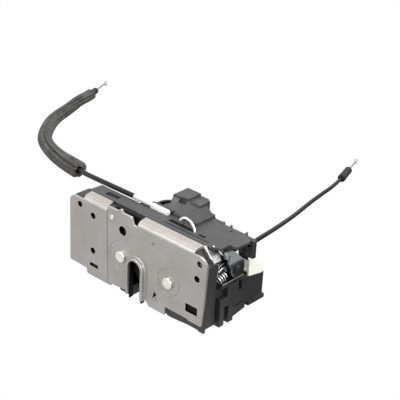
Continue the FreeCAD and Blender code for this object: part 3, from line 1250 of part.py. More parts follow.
def nipple(at, way, length):
    reach = length / 2 + WIRE_TO - NIPPLE_L / 2
    start = (at[0] + way[0] * reach, at[1] + way[1] * reach, at[2])
    barrel = rod(start, (way[0], way[1], 0), NIPPLE_R, NIPPLE_L)
    return barrel.makeFillet(NIPPLE_EDGE, [e for e in barrel.Edges if e.Curve.TypeId == "Part::GeomCircle"])


def cable_anchor():
    """The white end fitting that snaps into the cover's channel, round at its end."""
    half = ANCHOR_W / 2
    return deck([(ANCHOR_LEFT, CABLE1_Y - half, 0), (ANCHOR_RIGHT, CABLE1_Y - half, half - FIT),
                 (ANCHOR_RIGHT, CABLE1_Y + half, half - FIT), (ANCHOR_LEFT, CABLE1_Y + half, 0)],
                (SHELF_TOP, ANCHOR_TOP))


def cable_ferrule():
    """The translucent sleeve between the anchor and the sheath, thicker where it meets the sheath."""
    thin = rod((FERRULE_STEP, CABLE1_Y, CABLE1_Z), (1, 0, 0), ANCHOR_W / 2, ANCHOR_LEFT - FERRULE_STEP)
    thick = rod((FERRULE_LEFT, CABLE1_Y, CABLE1_Z), (1, 0, 0), FERRULE_R, FERRULE_STEP - FERRULE_LEFT)
    return join(thin, thick)


def cable_gland():
    start = CASE_REAR_BACK - GLAND_SUNK
    long = CABLE2_Y - start
    body = rod((GLAND_X, start, GLAND_Z), (0, 1, 0), GLAND_R, long - GLAND_NOSE)
    nose = Part.makeCone(GLAND_R - GLAND_NOSE / 2, CABLE2_R + GAP, GLAND_NOSE,
                         Vector(GLAND_X, CABLE2_Y - GLAND_NOSE, GLAND_Z), Vector(0, 1, 0))
    return join(body, nose)


def foam_sleeve():
    """The folded foam wrap round the inside cable."""
    route = ROUTE1[SLEEVE_FROM:-1]
    wire, radii = arc_path(route)
    direction = Vector(*route[1]) - Vector(*route[0])
    outer = Part.Wire([Part.makeCircle(SLEEVE_R, Vector(*route[0]), direction)])
    return wire.makePipeShell([outer], True, True).cut(tube(ROUTE1, CABLE1_R))


def housing_screws():
    """Two screws that hold the actuator to the latch from behind."""
    screws = []
    start = LATCH_BACK - SCREW_GRIP
    for x, z in SCREWS:
        head = rod((x, CASE_LEFT_BACK, z), (0, 1, 0), SCREW_HEAD_R, SCREW_HEAD_H)
        screws.append(join(head, rod((x, start, z), (0, 1, 0), SCREW_R, CASE_LEFT_BACK - start)))
    return Part.makeCompound(screws)


def cover_rivet():
    shank = rod((RIVET_X, -RIVET_END_H, RIVET_Z), (0, 1, 0), RIVET_R, RIVET_END_H + PLATE_T)
    head = rod((RIVET_X, PLATE_T, RIVET_Z), (0, 1, 0), RIVET_HEAD_R, RIVET_HEAD_H)
    return join(shank, head)


def build():
    spring_y = CLAW_BACK + SEAT + FLAT_WIRE_R
    save("face_plate", face_plate())
    save("latch_housing", latch_housing())
    save("back_plate", back_plate())
    save("striker_buffer", striker_buffer())
    save("claw", claw())
    save("claw_cover", claw_cover())
    save("pawl", pawl())
    save("pawl_cover", pawl_cover())
    save("claw_pin", pivot_pin(CLAW_X, CLAW_Z))
    save("pawl_pin", pivot_pin(PAWL_X, PAWL_Z))
    save("cover_rivet", cover_rivet())
    for name, (x, z), radius in zip(("claw_spring", "pawl_spring"), PIVOTS, (CLAW_COIL_R, PAWL_COIL_R)):
        save(name, torsion_spring((x, spring_y, z), (0, 1, 0), radius, FLAT_WIRE_R, FLAT_TURNS, FLAT_PITCH))
    save("actuator_housing", actuator_housing())
    save("top_cover", top_cover())
    save("motor", motor())
    save("motor_pinion", motor_pinion())
    save("drive_gear", drive_gear())
    save("gear_axle", gear_axle())
    save("circuit_board", circuit_board())
    save("lock_switch", lock_switch())
    save("release_slider", release_slider())
    save("release_loop", release_loop())
    save("outer_lever", outer_lever())
    save("lever_rivet", lever_rivet())
    coil_at = (BAY_LEFT + COIL_WIRE_R + SEAT, COIL_Y, COIL_Z)
    save("lever_spring", torsion_spring(coil_at, (1, 0, 0), COIL_R, COIL_WIRE_R, COIL_TURNS, COIL_PITCH))
    save("zinc_bracket", zinc_bracket())
    save("ivory_plug", ivory_plug())
    save("connector_pins", connector_pins())
    save("cable1_anchor", cable_anchor())
    save("cable1_ferrule", cable_ferrule())
    save("cable1_sheath", tube(ROUTE1, CABLE1_R))
    save("foam_sleeve", foam_sleeve())
    save("cable1_cap", end_cap(CAP1_AT, END1, CAP1_L))
    save("cable1_wire", inner_wire(CAP1_AT, END1, CAP1_L))
    save("cable1_nipple", nipple(CAP1_AT, END1, CAP1_L))
    save("cable2_gland", cable_gland())
    save("cable2_sheath", tube(ROUTE2, CABLE2_R))
    save("cable2_cap", end_cap(CAP2_AT, END2, CAP2_L))
    save("cable2_wire", inner_wire(CAP2_AT, END2, CAP2_L))
    save("cable2_nipple", nipple(CAP2_AT, END2, CAP2_L))
    save("housing_screws", housing_screws())


build()
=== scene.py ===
import math

import bmesh
import bpy
from mathutils import Matrix, Vector


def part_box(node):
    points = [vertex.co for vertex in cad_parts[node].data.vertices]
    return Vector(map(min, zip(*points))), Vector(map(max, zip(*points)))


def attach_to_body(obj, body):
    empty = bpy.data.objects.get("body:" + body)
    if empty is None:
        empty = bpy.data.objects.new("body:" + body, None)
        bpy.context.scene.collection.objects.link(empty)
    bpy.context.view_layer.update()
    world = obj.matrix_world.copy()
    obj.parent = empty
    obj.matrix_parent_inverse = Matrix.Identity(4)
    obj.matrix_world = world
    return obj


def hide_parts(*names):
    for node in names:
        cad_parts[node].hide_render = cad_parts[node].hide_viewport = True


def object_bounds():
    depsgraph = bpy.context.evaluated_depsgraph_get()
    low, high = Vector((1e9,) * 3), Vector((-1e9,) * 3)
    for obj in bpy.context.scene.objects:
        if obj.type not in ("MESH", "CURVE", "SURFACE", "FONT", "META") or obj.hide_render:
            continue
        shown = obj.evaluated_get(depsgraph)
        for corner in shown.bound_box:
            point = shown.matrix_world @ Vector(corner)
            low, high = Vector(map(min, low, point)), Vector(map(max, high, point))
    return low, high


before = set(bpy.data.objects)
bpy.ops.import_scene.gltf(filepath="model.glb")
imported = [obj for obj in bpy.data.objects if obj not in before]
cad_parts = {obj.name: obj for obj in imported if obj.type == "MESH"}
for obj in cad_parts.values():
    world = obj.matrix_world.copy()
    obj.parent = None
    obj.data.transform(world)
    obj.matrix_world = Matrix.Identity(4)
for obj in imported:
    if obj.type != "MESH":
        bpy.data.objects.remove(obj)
CAD_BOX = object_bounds()
MM = 0.001

# Where the camera stands, in metres, how it is turned, its lens and how near and far it sees
CAMERA_AT = Vector((0.502196, -0.511870, 0.418867))
CAMERA_RIGHT = Vector((0.739845, 0.671050, 0.048185))
CAMERA_UP = Vector((-0.337150, 0.307829, 0.889703))
CAMERA_LENS = 101.79
CAMERA_SENSOR = 36.0
CAMERA_RANGE = (0.01, 20)

# The sizes of pieces are in millimetres and angles in degrees, unless a comment says otherwise

# The cables' routes, from where each leaves the lock to its end cap
ROUTE1 = [
    (-26.0, 25.6, 35.7), (-55.0, 25.8, 35.2), (-96.0, 34.0, 29.0), (-146.0, 55.0, 18.0),
    (-195.0, 83.0, 5.0), (-234.0, 117.0, -6.0), (-267.0, 157.0, -15.0), (-290.0, 199.0, -22.0),
    (-303.0, 224.0, -24.6), (-309.4, 240.7, -27.0)]
ROUTE2 = [
    (71.0, 48.5, 28.0), (69.6, 64.0, 27.6), (64.0, 87.0, 24.0), (52.0, 122.0, 15.5), (35.0, 164.0, 4.5),
    (15.0, 212.0, -10.0), (-1.5, 251.0, -23.0), (-11.09, 278.77, -27.0)]
CABLE1_R = 2.0
CABLE2_R = 1.65
# The directions in which the cables reach their end caps
END1 = (-0.361625, 0.932324, 0.0)
END2 = (-0.297375, 0.954761, 0.0)

# The end caps, as places along the axis with radii there
CAP1_STEPS = [(0.0, 3.8), (3.0, 3.8), (3.2, 3.3), (17.6, 3.3), (20.0, 2.0)]
CAP2_STEPS = [(0.0, 3.7), (3.0, 3.7), (3.2, 3.1), (4.6, 3.1), (4.8, 3.5), (20.4, 3.5), (23.0, 2.2)]
# The barrel across a wire's end, and how far its axis lies short of the middle of its CAD node
BARREL_STEPS = [
    (-3.3, 1.3), (-3.0, 1.65), (-0.8, 1.65), (-0.5, 1.45), (0.5, 1.45), (0.8, 1.65), (3.0, 1.65), (3.3, 1.3)]
BARREL_BACK = 1.5
BARREL_SIDES = 28
BARREL_EDGE = 0.12

# The foam wrap: where it starts and ends along the cable, and how far past the cable's end its line runs
WRAP_START = 75.0
WRAP_END = 392.0
WRAP_PAST = 20.0
# its radius, its taper, its flatness, the near and far angle at which it is widest, and its swellings
WRAP_R = 6.4
WRAP_TAPER = 0.17
WRAP_FLAT = 0.12
WRAP_WIDE = (54.0, 137.0)
WRAP_SWELL = (0.03, 0.02)
# its least radius, that over the end cap, and the share of the length from which that counts
WRAP_LEAST = 2.6
WRAP_LEAST_CAP = 4.3
WRAP_CAP_FROM = 0.93
WRAP_SIDES = 72
WRAP_STEP = 2.2
WRAP_OFF_FLOOR = 0.1
# each fold: its angle at the near and the far end, its depth, its half width and its waviness
WRAP_FOLDS = (
    (-46.0, 40.0, 0.5, 8.0, 9.0), (-6.0, 84.0, 0.32, 8.0, 7.0), (30.0, 108.0, 0.18, 8.0, 13.0),
    (-92.0, -2.0, 0.14, 9.0, 8.0), (128.0, 206.0, 0.3, 9.0, 6.0), (190.0, 268.0, 0.2, 10.0, 10.0))
FOLD_WANDER = 7.0
FOLD_EVEN = 0.75
# the ragged inner layer at the near and the far end: its radius, its thickness, how far it stands out
# all round, its tags' angles and lengths, and the radius and the depth of the lining inside
TAG_R = (3.3, 4.4)
TAG_THICK = 0.4
TAG_OUT = 0.3
TAGS = (((-60.0, 3.0), (40.0, 3.6)), ((120.0, 1.4), (-80.0, 1.0)))
TAG_HALF = 20.0
LINING_R = (2.2, 3.95)
LINING_DEEP = 5
# the layers of the wrap, from its skin inwards
SKIN, MOUTH, TAGS_OUTSIDE, TAGS_INSIDE, LINING = range(5)

# Fittings on the strip: the white bar, the clear sleeve, the slider's bent loop and its wire
ANCHOR_BAR = ((-8.6, 9.0), (23.7, 27.5), (33.2, 36.9))
ANCHOR_EDGE = 0.7
SLEEVE_AT = (-26.2, 25.6, 35.7)
SLEEVE_STEPS = [(0.0, 2.0), (0.4, 2.4), (5.0, 2.4), (5.3, 2.0), (17.6, 2.0)]
SLEEVE_SIDES = 36
SLEEVE_EDGE = 0.15
LOOP_ROUTE = [
    (39.6, 20.7, 31.8), (39.4, 20.7, 35.5), (36.4, 20.7, 39.4), (33.0, 20.7, 41.0), (28.4, 20.7, 41.4),
    (24.8, 20.7, 37.8)]
LOOP_R = 0.85
CORE_ROUTE = [(25.8, 20.7, 33.9), (27.6, 20.7, 35.8), (30.0, 20.7, 38.0)]
CORE_R = 0.45

# Small blocks, as limits along x, y and z
SECOND_BLOCK = ((17.7, 28.2), (37.5, 48.9), (33.9, 44.5))
# A thin black sheet behind the right window, painted shade seen through it
WINDOW_SHADE = ((52.0, 63.1), (1.75, 1.98), (-17.3, -10.9))
# A thin black strip along the strip's front edge, a painted shadow line
STRIP_SHADOW = ((14.0, 57.0), (15.3, 16.1), (33.9, 34.04))
SILL_STRIP = ((69.4, 70.1), (18.5, 41.0), (3.0, 4.2))
BAY_PANEL = ((61.9, 62.7), (36.0, 43.3), (3.3, 20.0))
SKIRT = ((69.9, 70.4), (43.3, 63.4), (-3.2, 0.5))
BLOCK_EDGE = 0.3
THIN_EDGE = 0.15
# the plane that cuts the socket's skirt off at a slant
SKIRT_CUT_AT = (70, 43.3, 0.5)
SKIRT_CUT_WAY = (0, 3.7, 19.5)
# the band at the tab's front, how it is turned and where it goes
TAB_BAND = ((-5.3, 5.3), (9.0, 11.3), (-3.3, 0.0))
TAB_TURN = 45.8
TAB_AT = (62.3, 0, 30.8)

# Wires and the spring in the open bay
CORNER_ROUTE = [(62.2, 14.3, 34.2), (65.0, 14.6, 33.4), (67.8, 15.6, 31.2), (69.4, 17.2, 28.8)]
CORNER_R = 0.35
LINK_ROUTE = [(66.6, 17.0, 13.6), (67.2, 19.6, 16.6), (67.4, 22.6, 15.2), (67.2, 24.6, 12.0)]
LINK_R = 0.6
SPRING_AT = (66.2, 16.2, 6.6)
SPRING_WAY = (0, 1, 0.3)
SPRING_R = 3.2
SPRING_WIRE = 0.6
SPRING_TURNS = 3.5
SPRING_PITCH = 2.1

# Angles between faces from which an edge is rounded, and from which shading breaks at it
SOFTEN_FROM = 25
SHADE_FROM = 40

# The plate's holes, whose walls get a near-black painted shade: their middle's x and z, and how far from it
# their walls reach
PLATE_HOLES = (
    (-44.0, -8.4, 2.7), (-44.0, 21.5, 2.7), (61.4, 12.7, 2.7), (-58.3, 26.1, 2.7), (63.2, 25.2, 2.7),
    (-12.6, 21.2, 4.0), (57.55, -14.1, 6.8), (-42.65, -20.75, 4.9), (19.8, -21.8, 3.6))
HOLE_WALLS_FROM = 0.3

# The heights between which the lever's plating turns bright
LEVER_BRIGHT = (14.5, 17.0)

# Floor and sky in metres: what the camera sees, what mirrors show and what lights the object
FLOOR_Z = CAD_BOX[0].z - 0.0002
FLOOR_SIZE = 8.0
FLOOR_WHITE = 1.0
FLOOR_MIRRORED = (1.0, 0.12)
FLOOR_MIRRORED_Y = (0.0, 0.06)
FLOOR_PAPER = "#4C4C4C"
SKY_LIGHT = 0.5
SKY_COLOUR = "#F4F6F8"
SKY_MIRRORED = (0.6, 1.5)
SKY_MIRRORED_Z = (-0.1, 0.9)
WHITE = (1, 1, 1, 1)
# Soft lamps: where each stands and points and its size, in metres, and its watts
LAMPS = {
    "key_lamp": ((-0.35, -1.2, 0.8), (0, 0.02, 0), 0.7, 16),
    "side_lamp": ((1.3, -0.2, 0.7), (0.05, 0.03, 0), 0.6, 16),
    "top_lamp": ((0.1, 0.5, 1.5), (0, 0.03, 0), 1.0, 20),
}

# Each finish and the CAD nodes that wear it
NODE_FINISH = {
    "coated_steel": ("face_plate",),
    "bright_steel": ("back_plate",),
    "hard_steel": ("claw", "pawl", "gear_axle"),
    "pin_steel": ("claw_pin", "pawl_pin", "cover_rivet"),
    "spring_steel": ("claw_spring", "pawl_spring", "lever_spring"),
    "zinc": ("zinc_bracket", "housing_screws", "cable1_nipple", "cable2_nipple"),
    "lever_steel": ("outer_lever",),
    "rivet_grey": ("lever_rivet",),
    "wire_steel": ("cable1_wire", "cable2_wire"),
    "motor_can": ("motor",),
    "brass": ("connector_pins", "motor_pinion"),
    "black_nylon": ("latch_housing", "actuator_housing", "lock_switch"),
    # The catch's covers and buffer are black, painted darker still as the shade deep in the slot
    "deep_black": ("claw_cover", "pawl_cover", "striker_buffer"),
    "top_lit_nylon": ("top_cover",),
    "soft_black": ("cable1_cap", "cable2_cap", "cable2_gland"),
    "acetal_white": ("cable1_anchor", "release_loop"),
    "acetal_clear": ("cable1_ferrule",),
    "acetal_grey": ("release_slider",),
    "ivory_plastic": ("ivory_plug",),
    "gear_acetal": ("drive_gear",),
    "board_green": ("circuit_board",),
    "cable_sheath": ("cable1_sheath", "cable2_sheath"),
    "foam_tape": ("foam_sleeve",),
}


# Node-based materials

def linear(text):
    """An sRGB hex colour as linear red, green, blue and alpha."""
    parts = [int(text[i:i + 2], 16) / 255 for i in (1, 3, 5)]
    return [p / 12.92 if p <= 0.04045 else ((p + 0.055) / 1.055) ** 2.4 for p in parts] + [1.0]


def add_node(tree, kind, settings=None, links=None):
    """Add a node: settings go to its properties or sockets, links feed its sockets."""
    node = tree.nodes.new(kind)
    for name, value in (settings or {}).items():
        if hasattr(node, str(name)):
            setattr(node, name, value)
        else:
            node.inputs[name].default_value = value
    for name, source in (links or {}).items():
        tree.links.new(source, node.inputs[name])
    return node


def start_material(name):
    """A material with an empty node tree, and the object coordinates in metres."""
    material = bpy.data.materials.new(name)
    material.use_nodes = True
    tree = material.node_tree
    tree.nodes.clear()
    place = add_node(tree, "ShaderNodeTexCoord").outputs["Object"]
    return material, tree, place


def end_material(tree, sockets, links):
    shader = add_node(tree, "ShaderNodeBsdfPrincipled", sockets, links)
    add_node(tree, "ShaderNodeOutputMaterial", links={"Surface": shader.outputs["BSDF"]})


def clouds(tree, place, size_mm, detail, low, high):
    """Values from low to high in blotches of about size_mm."""
    settings = {"Scale": 1 / (size_mm * MM), "Detail": detail}
    blotches = add_node(tree, "ShaderNodeTexNoise", settings, {"Vector": place})
    settings = {"From Min": 0.35, "From Max": 0.65, "To Min": low, "To Max": high}
    links = {"Value": blotches.outputs["Fac"]}
    return add_node(tree, "ShaderNodeMapRange", settings, links).outputs["Result"]


def two_tone(tree, place, size_mm, detail, colour, second):
    """Blotches of a second colour in the first."""
    settings = {"data_type": "RGBA", 6: linear(colour), 7: linear(second)}
    links = {0: clouds(tree, place, size_mm, detail, 0, 1)}
    return add_node(tree, "ShaderNodeMix", settings, links).outputs[2]


def grain(tree, place, size_mm, detail, strength, depth_mm, edge_mm):
    """A grain, drawn coarser than the real one so that it shows, and edges rounded by edge_mm."""
    settings = {"Scale": 1 / (size_mm * MM), "Detail": detail}
    relief = add_node(tree, "ShaderNodeTexNoise", settings, {"Vector": place})
    edge = add_node(tree, "ShaderNodeBevel", {"samples": 4, "Radius": edge_mm * MM})
    settings = {"Strength": strength, "Distance": depth_mm * MM}
    links = {"Height": relief.outputs["Fac"], "Normal": edge.outputs["Normal"]}
    return add_node(tree, "ShaderNodeBump", settings, links).outputs["Normal"]


def graded(tree, place, axis, ends, values):
    """A value that goes from one of a pair to the other between two places along an axis."""
    parts = add_node(tree, "ShaderNodeSeparateXYZ", links={"Vector": place})
    settings = {"From Min": ends[0], "From Max": ends[1], "To Min": values[0], "To Max": values[1]}
    return add_node(tree, "ShaderNodeMapRange", settings, {"Value": parts.outputs[axis]}).outputs["Result"]


def moulded(name, colour, worn, roughness, grain_mm=0.35, depth_mm=0.02, edge_mm=0.3, **sockets):
    """Injection-moulded plastic: a spark-eroded grain, slow changes of gloss and a faint bloom."""
    material, tree, place = start_material(name)
    links = {
        "Base Color": two_tone(tree, place, 14, 5, colour, worn),
        "Roughness": clouds(tree, place, 6, 3, roughness - 0.05, roughness + 0.07),
        "Normal": grain(tree, place, grain_mm, 2, 0.35, depth_mm, edge_mm)}
    end_material(tree, {"IOR": 1.5, **sockets}, links)
    return material


def hole_wall_shade(tree, place):
    """One on the walls of the plate's holes, where the painted shade goes, and zero elsewhere."""
    flat = add_node(tree, "ShaderNodeVectorMath", {"operation": "MULTIPLY", 1: (1, 0, 1)}, {0: place})
    parts = add_node(tree, "ShaderNodeSeparateXYZ", links={"Vector": place})
    settings = {"operation": "GREATER_THAN", 1: HOLE_WALLS_FROM * MM}
    deep = add_node(tree, "ShaderNodeMath", settings, {0: parts.outputs["Y"]})
    walls = None
    for x, z, reach in PLATE_HOLES:
        settings = {"operation": "DISTANCE", 1: (x * MM, 0, z * MM)}
        far = add_node(tree, "ShaderNodeVectorMath", settings, {0: flat.outputs["Vector"]})
        settings = {"operation": "LESS_THAN", 1: reach * MM}
        near = add_node(tree, "ShaderNodeMath", settings, {0: far.outputs["Value"]}).outputs["Value"]
        if walls is not None:
            links = {0: walls, 1: near}
            near = add_node(tree, "ShaderNodeMath", {"operation": "MAXIMUM"}, links).outputs["Value"]
        walls = near
    links = {0: walls, 1: deep.outputs["Value"]}
    return add_node(tree, "ShaderNodeMath", {"operation": "MULTIPLY"}, links).outputs["Value"]


def metal(name, colour, second, roughness, blotch_mm=9, depth_mm=0.01, edge_mm=0.25, metallic=1.0,
          holes=None):
    """Plated or bare metal: blotches of tone, a fine grain and, if given, a colour of painted shade for its
    holes' walls.
    """
    material, tree, place = start_material(name)
    face = two_tone(tree, place, blotch_mm, 6, colour, second)
    if holes:
        links = {0: hole_wall_shade(tree, place), 6: face}
        face = add_node(tree, "ShaderNodeMix", {"data_type": "RGBA", 7: linear(holes)}, links).outputs[2]
    links = {
        "Base Color": face,
        "Roughness": clouds(tree, place, 0.5, 3, roughness - 0.06, roughness + 0.08),
        "Normal": grain(tree, place, 0.5, 3, 0.25, depth_mm, edge_mm)}
    end_material(tree, {"Metallic": metallic}, links)
    return material


def edge_lit_metal(name, colour, second, bright, roughness, edge_mm, bright_mm):
    """Dark metal with a painted highlight along its edges, and which turns bright between two heights."""
    material, tree, place = start_material(name)
    # The edges, where the rounded normal parts from the flat one, are painted bright as a highlight
    rounded = add_node(tree, "ShaderNodeBevel", {"samples": 8, "Radius": edge_mm * MM})
    flat = add_node(tree, "ShaderNodeNewGeometry")
    links = {0: rounded.outputs["Normal"], 1: flat.outputs["True Normal"]}
    match = add_node(tree, "ShaderNodeVectorMath", {"operation": "DOT_PRODUCT"}, links)
    settings = {"From Min": 0.99, "From Max": 0.9, "To Min": 0.0, "To Max": 1.0}
    edge_highlight = add_node(tree, "ShaderNodeMapRange", settings, {"Value": match.outputs["Value"]})
    raised = graded(tree, place, "Z", [z * MM for z in bright_mm], (0.0, 0.85))
    links = {0: edge_highlight.outputs["Result"], 1: raised}
    both = add_node(tree, "ShaderNodeMath", {"operation": "MAXIMUM"}, links)
    links = {0: both.outputs["Value"], 6: two_tone(tree, place, 5, 5, colour, second)}
    face = add_node(tree, "ShaderNodeMix", {"data_type": "RGBA", 7: linear(bright)}, links)
    links = {
        "Base Color": face.outputs[2],
        "Roughness": clouds(tree, place, 0.6, 3, roughness - 0.05, roughness + 0.08),
        "Normal": grain(tree, place, 0.6, 3, 0.3, 0.012, 0.3)}
    end_material(tree, {"Metallic": 0.7}, links)
    return material


def make_materials():
    """Every finish by its name."""
    made = {}
    dull = {"Specular IOR Level": 0.12}
    waxy = {"Specular IOR Level": 0.3}
    # Sheet steel with a zinc-flake coat: matt warm grey with faint clouds, and near-black painted shade on
    # the walls of its holes
    made["coated_steel"] = metal(
        "coated_steel", "#AAA6A3", "#A09B97", 0.46, 22, 0.012, 0.35, 0.75, "#131211")
    # Rolled sheet steel, bright plated: pale, with soft reflections
    made["bright_steel"] = metal("bright_steel", "#D6D5D4", "#C6C5C4", 0.3, 12, 0.01, 0.3)
    # Hardened steel parts of the catch: darker and smoother
    made["hard_steel"] = metal("hardened_steel", "#6B6A68", "#5A5957", 0.38)
    # Pin ends faced on a lathe: nearly white
    made["pin_steel"] = metal("turned_steel", "#E9E7E2", "#DAD8D3", 0.34, 3, 0.006, 0.2)
    # Spring wire, drawn and oiled: mid grey with sharp glints
    made["spring_steel"] = metal("spring_wire", "#8E9090", "#77797A", 0.3)
    # Bright zinc plating with a blue passivation: cool and shiny
    made["zinc"] = metal("zinc_plating", "#AEB6B8", "#8F989B", 0.24, 7)
    # Dark plating on the lever: slate grey, with a painted highlight along its edges
    made["lever_steel"] = edge_lit_metal(
        "dark_plated_steel", "#555C5F", "#6E7679", "#E6EAEB", 0.3, 0.6, LEVER_BRIGHT)
    # Grey plating on a rivet: flat mid grey
    made["rivet_grey"] = metal("grey_plated_steel", "#606365", "#55585A", 0.4, 3)
    # Stranded steel wire: light grey
    made["wire_steel"] = metal("cable_strands", "#B9BAB8", "#9C9D9B", 0.35)
    # Deep-drawn plated can: light grey, a little warm
    made["motor_can"] = metal("motor_can", "#B3B3AE", "#A2A29D", 0.35)
    # Tinned brass: pale yellow
    made["brass"] = metal("tinned_brass", "#C9B173", "#BBA468", 0.3)
    # Glass-filled nylon, moulded: dark grey, dull, a little cloudy, and painted lighter on the cover as the
    # light that falls on the lock's top
    made["black_nylon"] = moulded("black_nylon", "#262626", "#2C2C2C", 0.5)
    made["top_lit_nylon"] = moulded("top_lit_nylon", "#353535", "#3B3B3B", 0.5)
    # Soft moulded plastic: dark and waxy
    made["soft_black"] = moulded("soft_black", "#222222", "#282828", 0.55, **waxy)
    # Rubber and soft plastic deep in the lock: black, without a sheen, and darker than the other black
    # plastic as painted shade; the same black paints the shade behind the right window and along the strip
    made["deep_black"] = moulded("deep_black", "#0B0B0B", "#101010", 0.6, **dull)
    # Acetal, moulded: cool white, milky clear, the slider's grey painted near black as the shade in the
    # strip's slot, and cream
    made["acetal_white"] = moulded("acetal_white", "#E9ECEA", "#DDE0DD", 0.42)
    made["acetal_clear"] = moulded("acetal_clear", "#C8CACB", "#B9BCBD", 0.36)
    made["acetal_grey"] = moulded("acetal_grey", "#1A1B1B", "#141515", 0.45, **dull)
    made["gear_acetal"] = moulded("gear_acetal", "#E4E1D6", "#D9D6CA", 0.4)
    # Polyester for connectors, moulded: ivory
    made["ivory_plastic"] = moulded("ivory_plastic", "#FFFEF2", "#F8F5E6", 0.5)
    # Extruded sheath: black and fairly smooth
    made["cable_sheath"] = moulded("cable_sheath", "#0C0C0C", "#121212", 0.3, 0.6, 0.01, 0.1, **waxy)
    # Foam tape: dark grey with lighter clouds and coarse pores
    made["foam_tape"] = moulded("foam_tape", "#3B3A38", "#565450", 0.7, 2.2, 0.1, 0.2, **waxy)
    # Lacquered circuit board: dark green
    made["board_green"] = moulded("board_green", "#1F4A33", "#24553B", 0.35)
    return made


def dress_nodes():
    for finish, nodes in NODE_FINISH.items():
        for name in nodes:
            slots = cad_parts[name].data.materials
            slots.clear()
            slots.append(materials[finish])


# Making pieces

def place_object(name, data):
    made = bpy.data.objects.new(name, data)
    bpy.context.scene.collection.objects.link(made)
    return made


def finish_mesh(bm, name, material, smooth=True):
    mesh = bpy.data.meshes.new(name)
    bm.to_mesh(mesh)
    bm.free()
    mesh.materials.append(material)
    for face in mesh.polygons:
        face.use_smooth = smooth
    return place_object(name, mesh)


def attach(piece, body, hidden):
    """Let a piece ride on a body, and hide the CAD nodes that it stands for."""
    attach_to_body(piece, body)
    if hidden:
        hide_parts(*hidden)


def settle(bm, name, finish, body, *hidden):
    """Turn a mesh into a piece that rides on a body and may stand for CAD nodes."""
    bmesh.ops.recalc_face_normals(bm, faces=bm.faces)
    piece = finish_mesh(bm, name, materials[finish])
    piece.data.set_sharp_from_angle(angle=math.radians(SHADE_FROM))
    attach(piece, body, hidden)
    return piece


def route_curve(name, route, radius):
    """A smooth curve whose control points are the route's points."""
    data = bpy.data.curves.new(name, "CURVE")
    data.dimensions = "3D"
    data.resolution_u = 14
    data.bevel_depth = radius * MM
    data.bevel_resolution = 6
    data.use_fill_caps = radius > 0
    spline = data.splines.new("NURBS")
    spline.points.add(len(route) - 1)
    for point, spot in zip(spline.points, route):
        point.co = (spot[0] * MM, spot[1] * MM, spot[2] * MM, 1)
    spline.order_u = 3
    spline.use_endpoint_u = True
    return place_object(name, data)


def wire_piece(name, route, radius, finish, body, *hidden):
    """A bent wire along its route."""
    piece = route_curve(name, route, radius)
    piece.data.materials.append(materials[finish])
    attach(piece, body, hidden)


def grow(bm, edges):
    """Extrude a ring of edges and return the new ring's edges and corners."""
    grown = bmesh.ops.extrude_edge_only(bm, edges=edges)["geom"]
    corners = [g for g in grown if isinstance(g, bmesh.types.BMVert)]
    fresh = set(corners)
    ring = [g for g in grown if isinstance(g, bmesh.types.BMEdge) and fresh.issuperset(g.verts)]
    return ring, corners


def soften(bm, width_mm):
    """Round every sharp edge of a piece."""
    sharp = [e for e in bm.edges if e.is_manifold and e.calc_face_angle(0) > math.radians(SOFTEN_FROM)]
    bmesh.ops.bevel(bm, geom=sharp, offset=width_mm * MM, offset_type="OFFSET", segments=2, profile=0.5,
                    affect="EDGES", clamp_overlap=True, material=-1)


def stand(bm, at, way):
    """Turn a mesh made along the Z axis to another direction and move it to its place."""
    turn = Vector(way).to_track_quat("Z", "Y").to_matrix().to_4x4()
    bmesh.ops.transform(bm, verts=bm.verts, matrix=Matrix.Translation(Vector(at) * MM) @ turn)


def moulded_block(limits, edge=0.0):
    """A block between pairs of limits, with rounded edges if an edge is given."""
    low, high = (Vector(ends) for ends in zip(*limits))
    bm = bmesh.new()
    bmesh.ops.create_cube(bm, size=MM)
    bmesh.ops.scale(bm, verts=bm.verts, vec=high - low)
    bmesh.ops.translate(bm, verts=bm.verts, vec=(low + high) / 2 * MM)
    if edge:
        soften(bm, edge)
    return bm


def turned(steps, at, way, sides=40, edge=0.2):
    """A turned piece: pairs of a place along its axis and a radius there."""
    bm = bmesh.new()
    loop = bmesh.ops.create_circle(bm, segments=sides, radius=steps[0][1] * MM, cap_ends=True)
    ring = list({e for v in loop["verts"] for e in v.link_edges})
    bmesh.ops.translate(bm, verts=loop["verts"], vec=(0, 0, steps[0][0] * MM))
    for (last, thick), (along, radius) in zip(steps, steps[1:]):
        ring, corners = grow(bm, ring)
        bmesh.ops.scale(bm, verts=corners, vec=(radius / thick, radius / thick, 1))
        bmesh.ops.translate(bm, verts=corners, vec=(0, 0, (along - last) * MM))
    bmesh.ops.contextual_create(bm, geom=ring)
    soften(bm, edge)
    stand(bm, at, way)
    return bm


def coil(at, way, radius, wire, turns, pitch, sides=14, steps_a_turn=28):
    """A spring: a wire's round section spun and lifted along an axis."""
    bm = bmesh.new()
    loop = bmesh.ops.create_circle(bm, segments=sides, radius=wire * MM, cap_ends=True)
    bmesh.ops.rotate(bm, verts=loop["verts"], matrix=Matrix.Rotation(math.pi / 2, 3, "X"))
    bmesh.ops.translate(bm, verts=loop["verts"], vec=(radius * MM, 0, 0))
    steps = int(turns * steps_a_turn)
    bmesh.ops.spin(bm, geom=bm.verts[:] + bm.edges[:] + bm.faces[:], cent=(0, 0, 0), axis=(0, 0, 1),
                   dvec=(0, 0, pitch * turns * MM / steps), angle=turns * 2 * math.pi, steps=steps)
    stand(bm, at, way)
    return bm


# The foam wrap

def line_of(route):
    """Points along the smooth line of a route, in metres."""
    bare = route_curve("bare_line", route, 0)
    mesh = bpy.data.meshes.new_from_object(bare)
    points = [v.co.copy() for v in mesh.vertices]
    bpy.data.objects.remove(bare)
    bpy.data.meshes.remove(mesh)
    return points


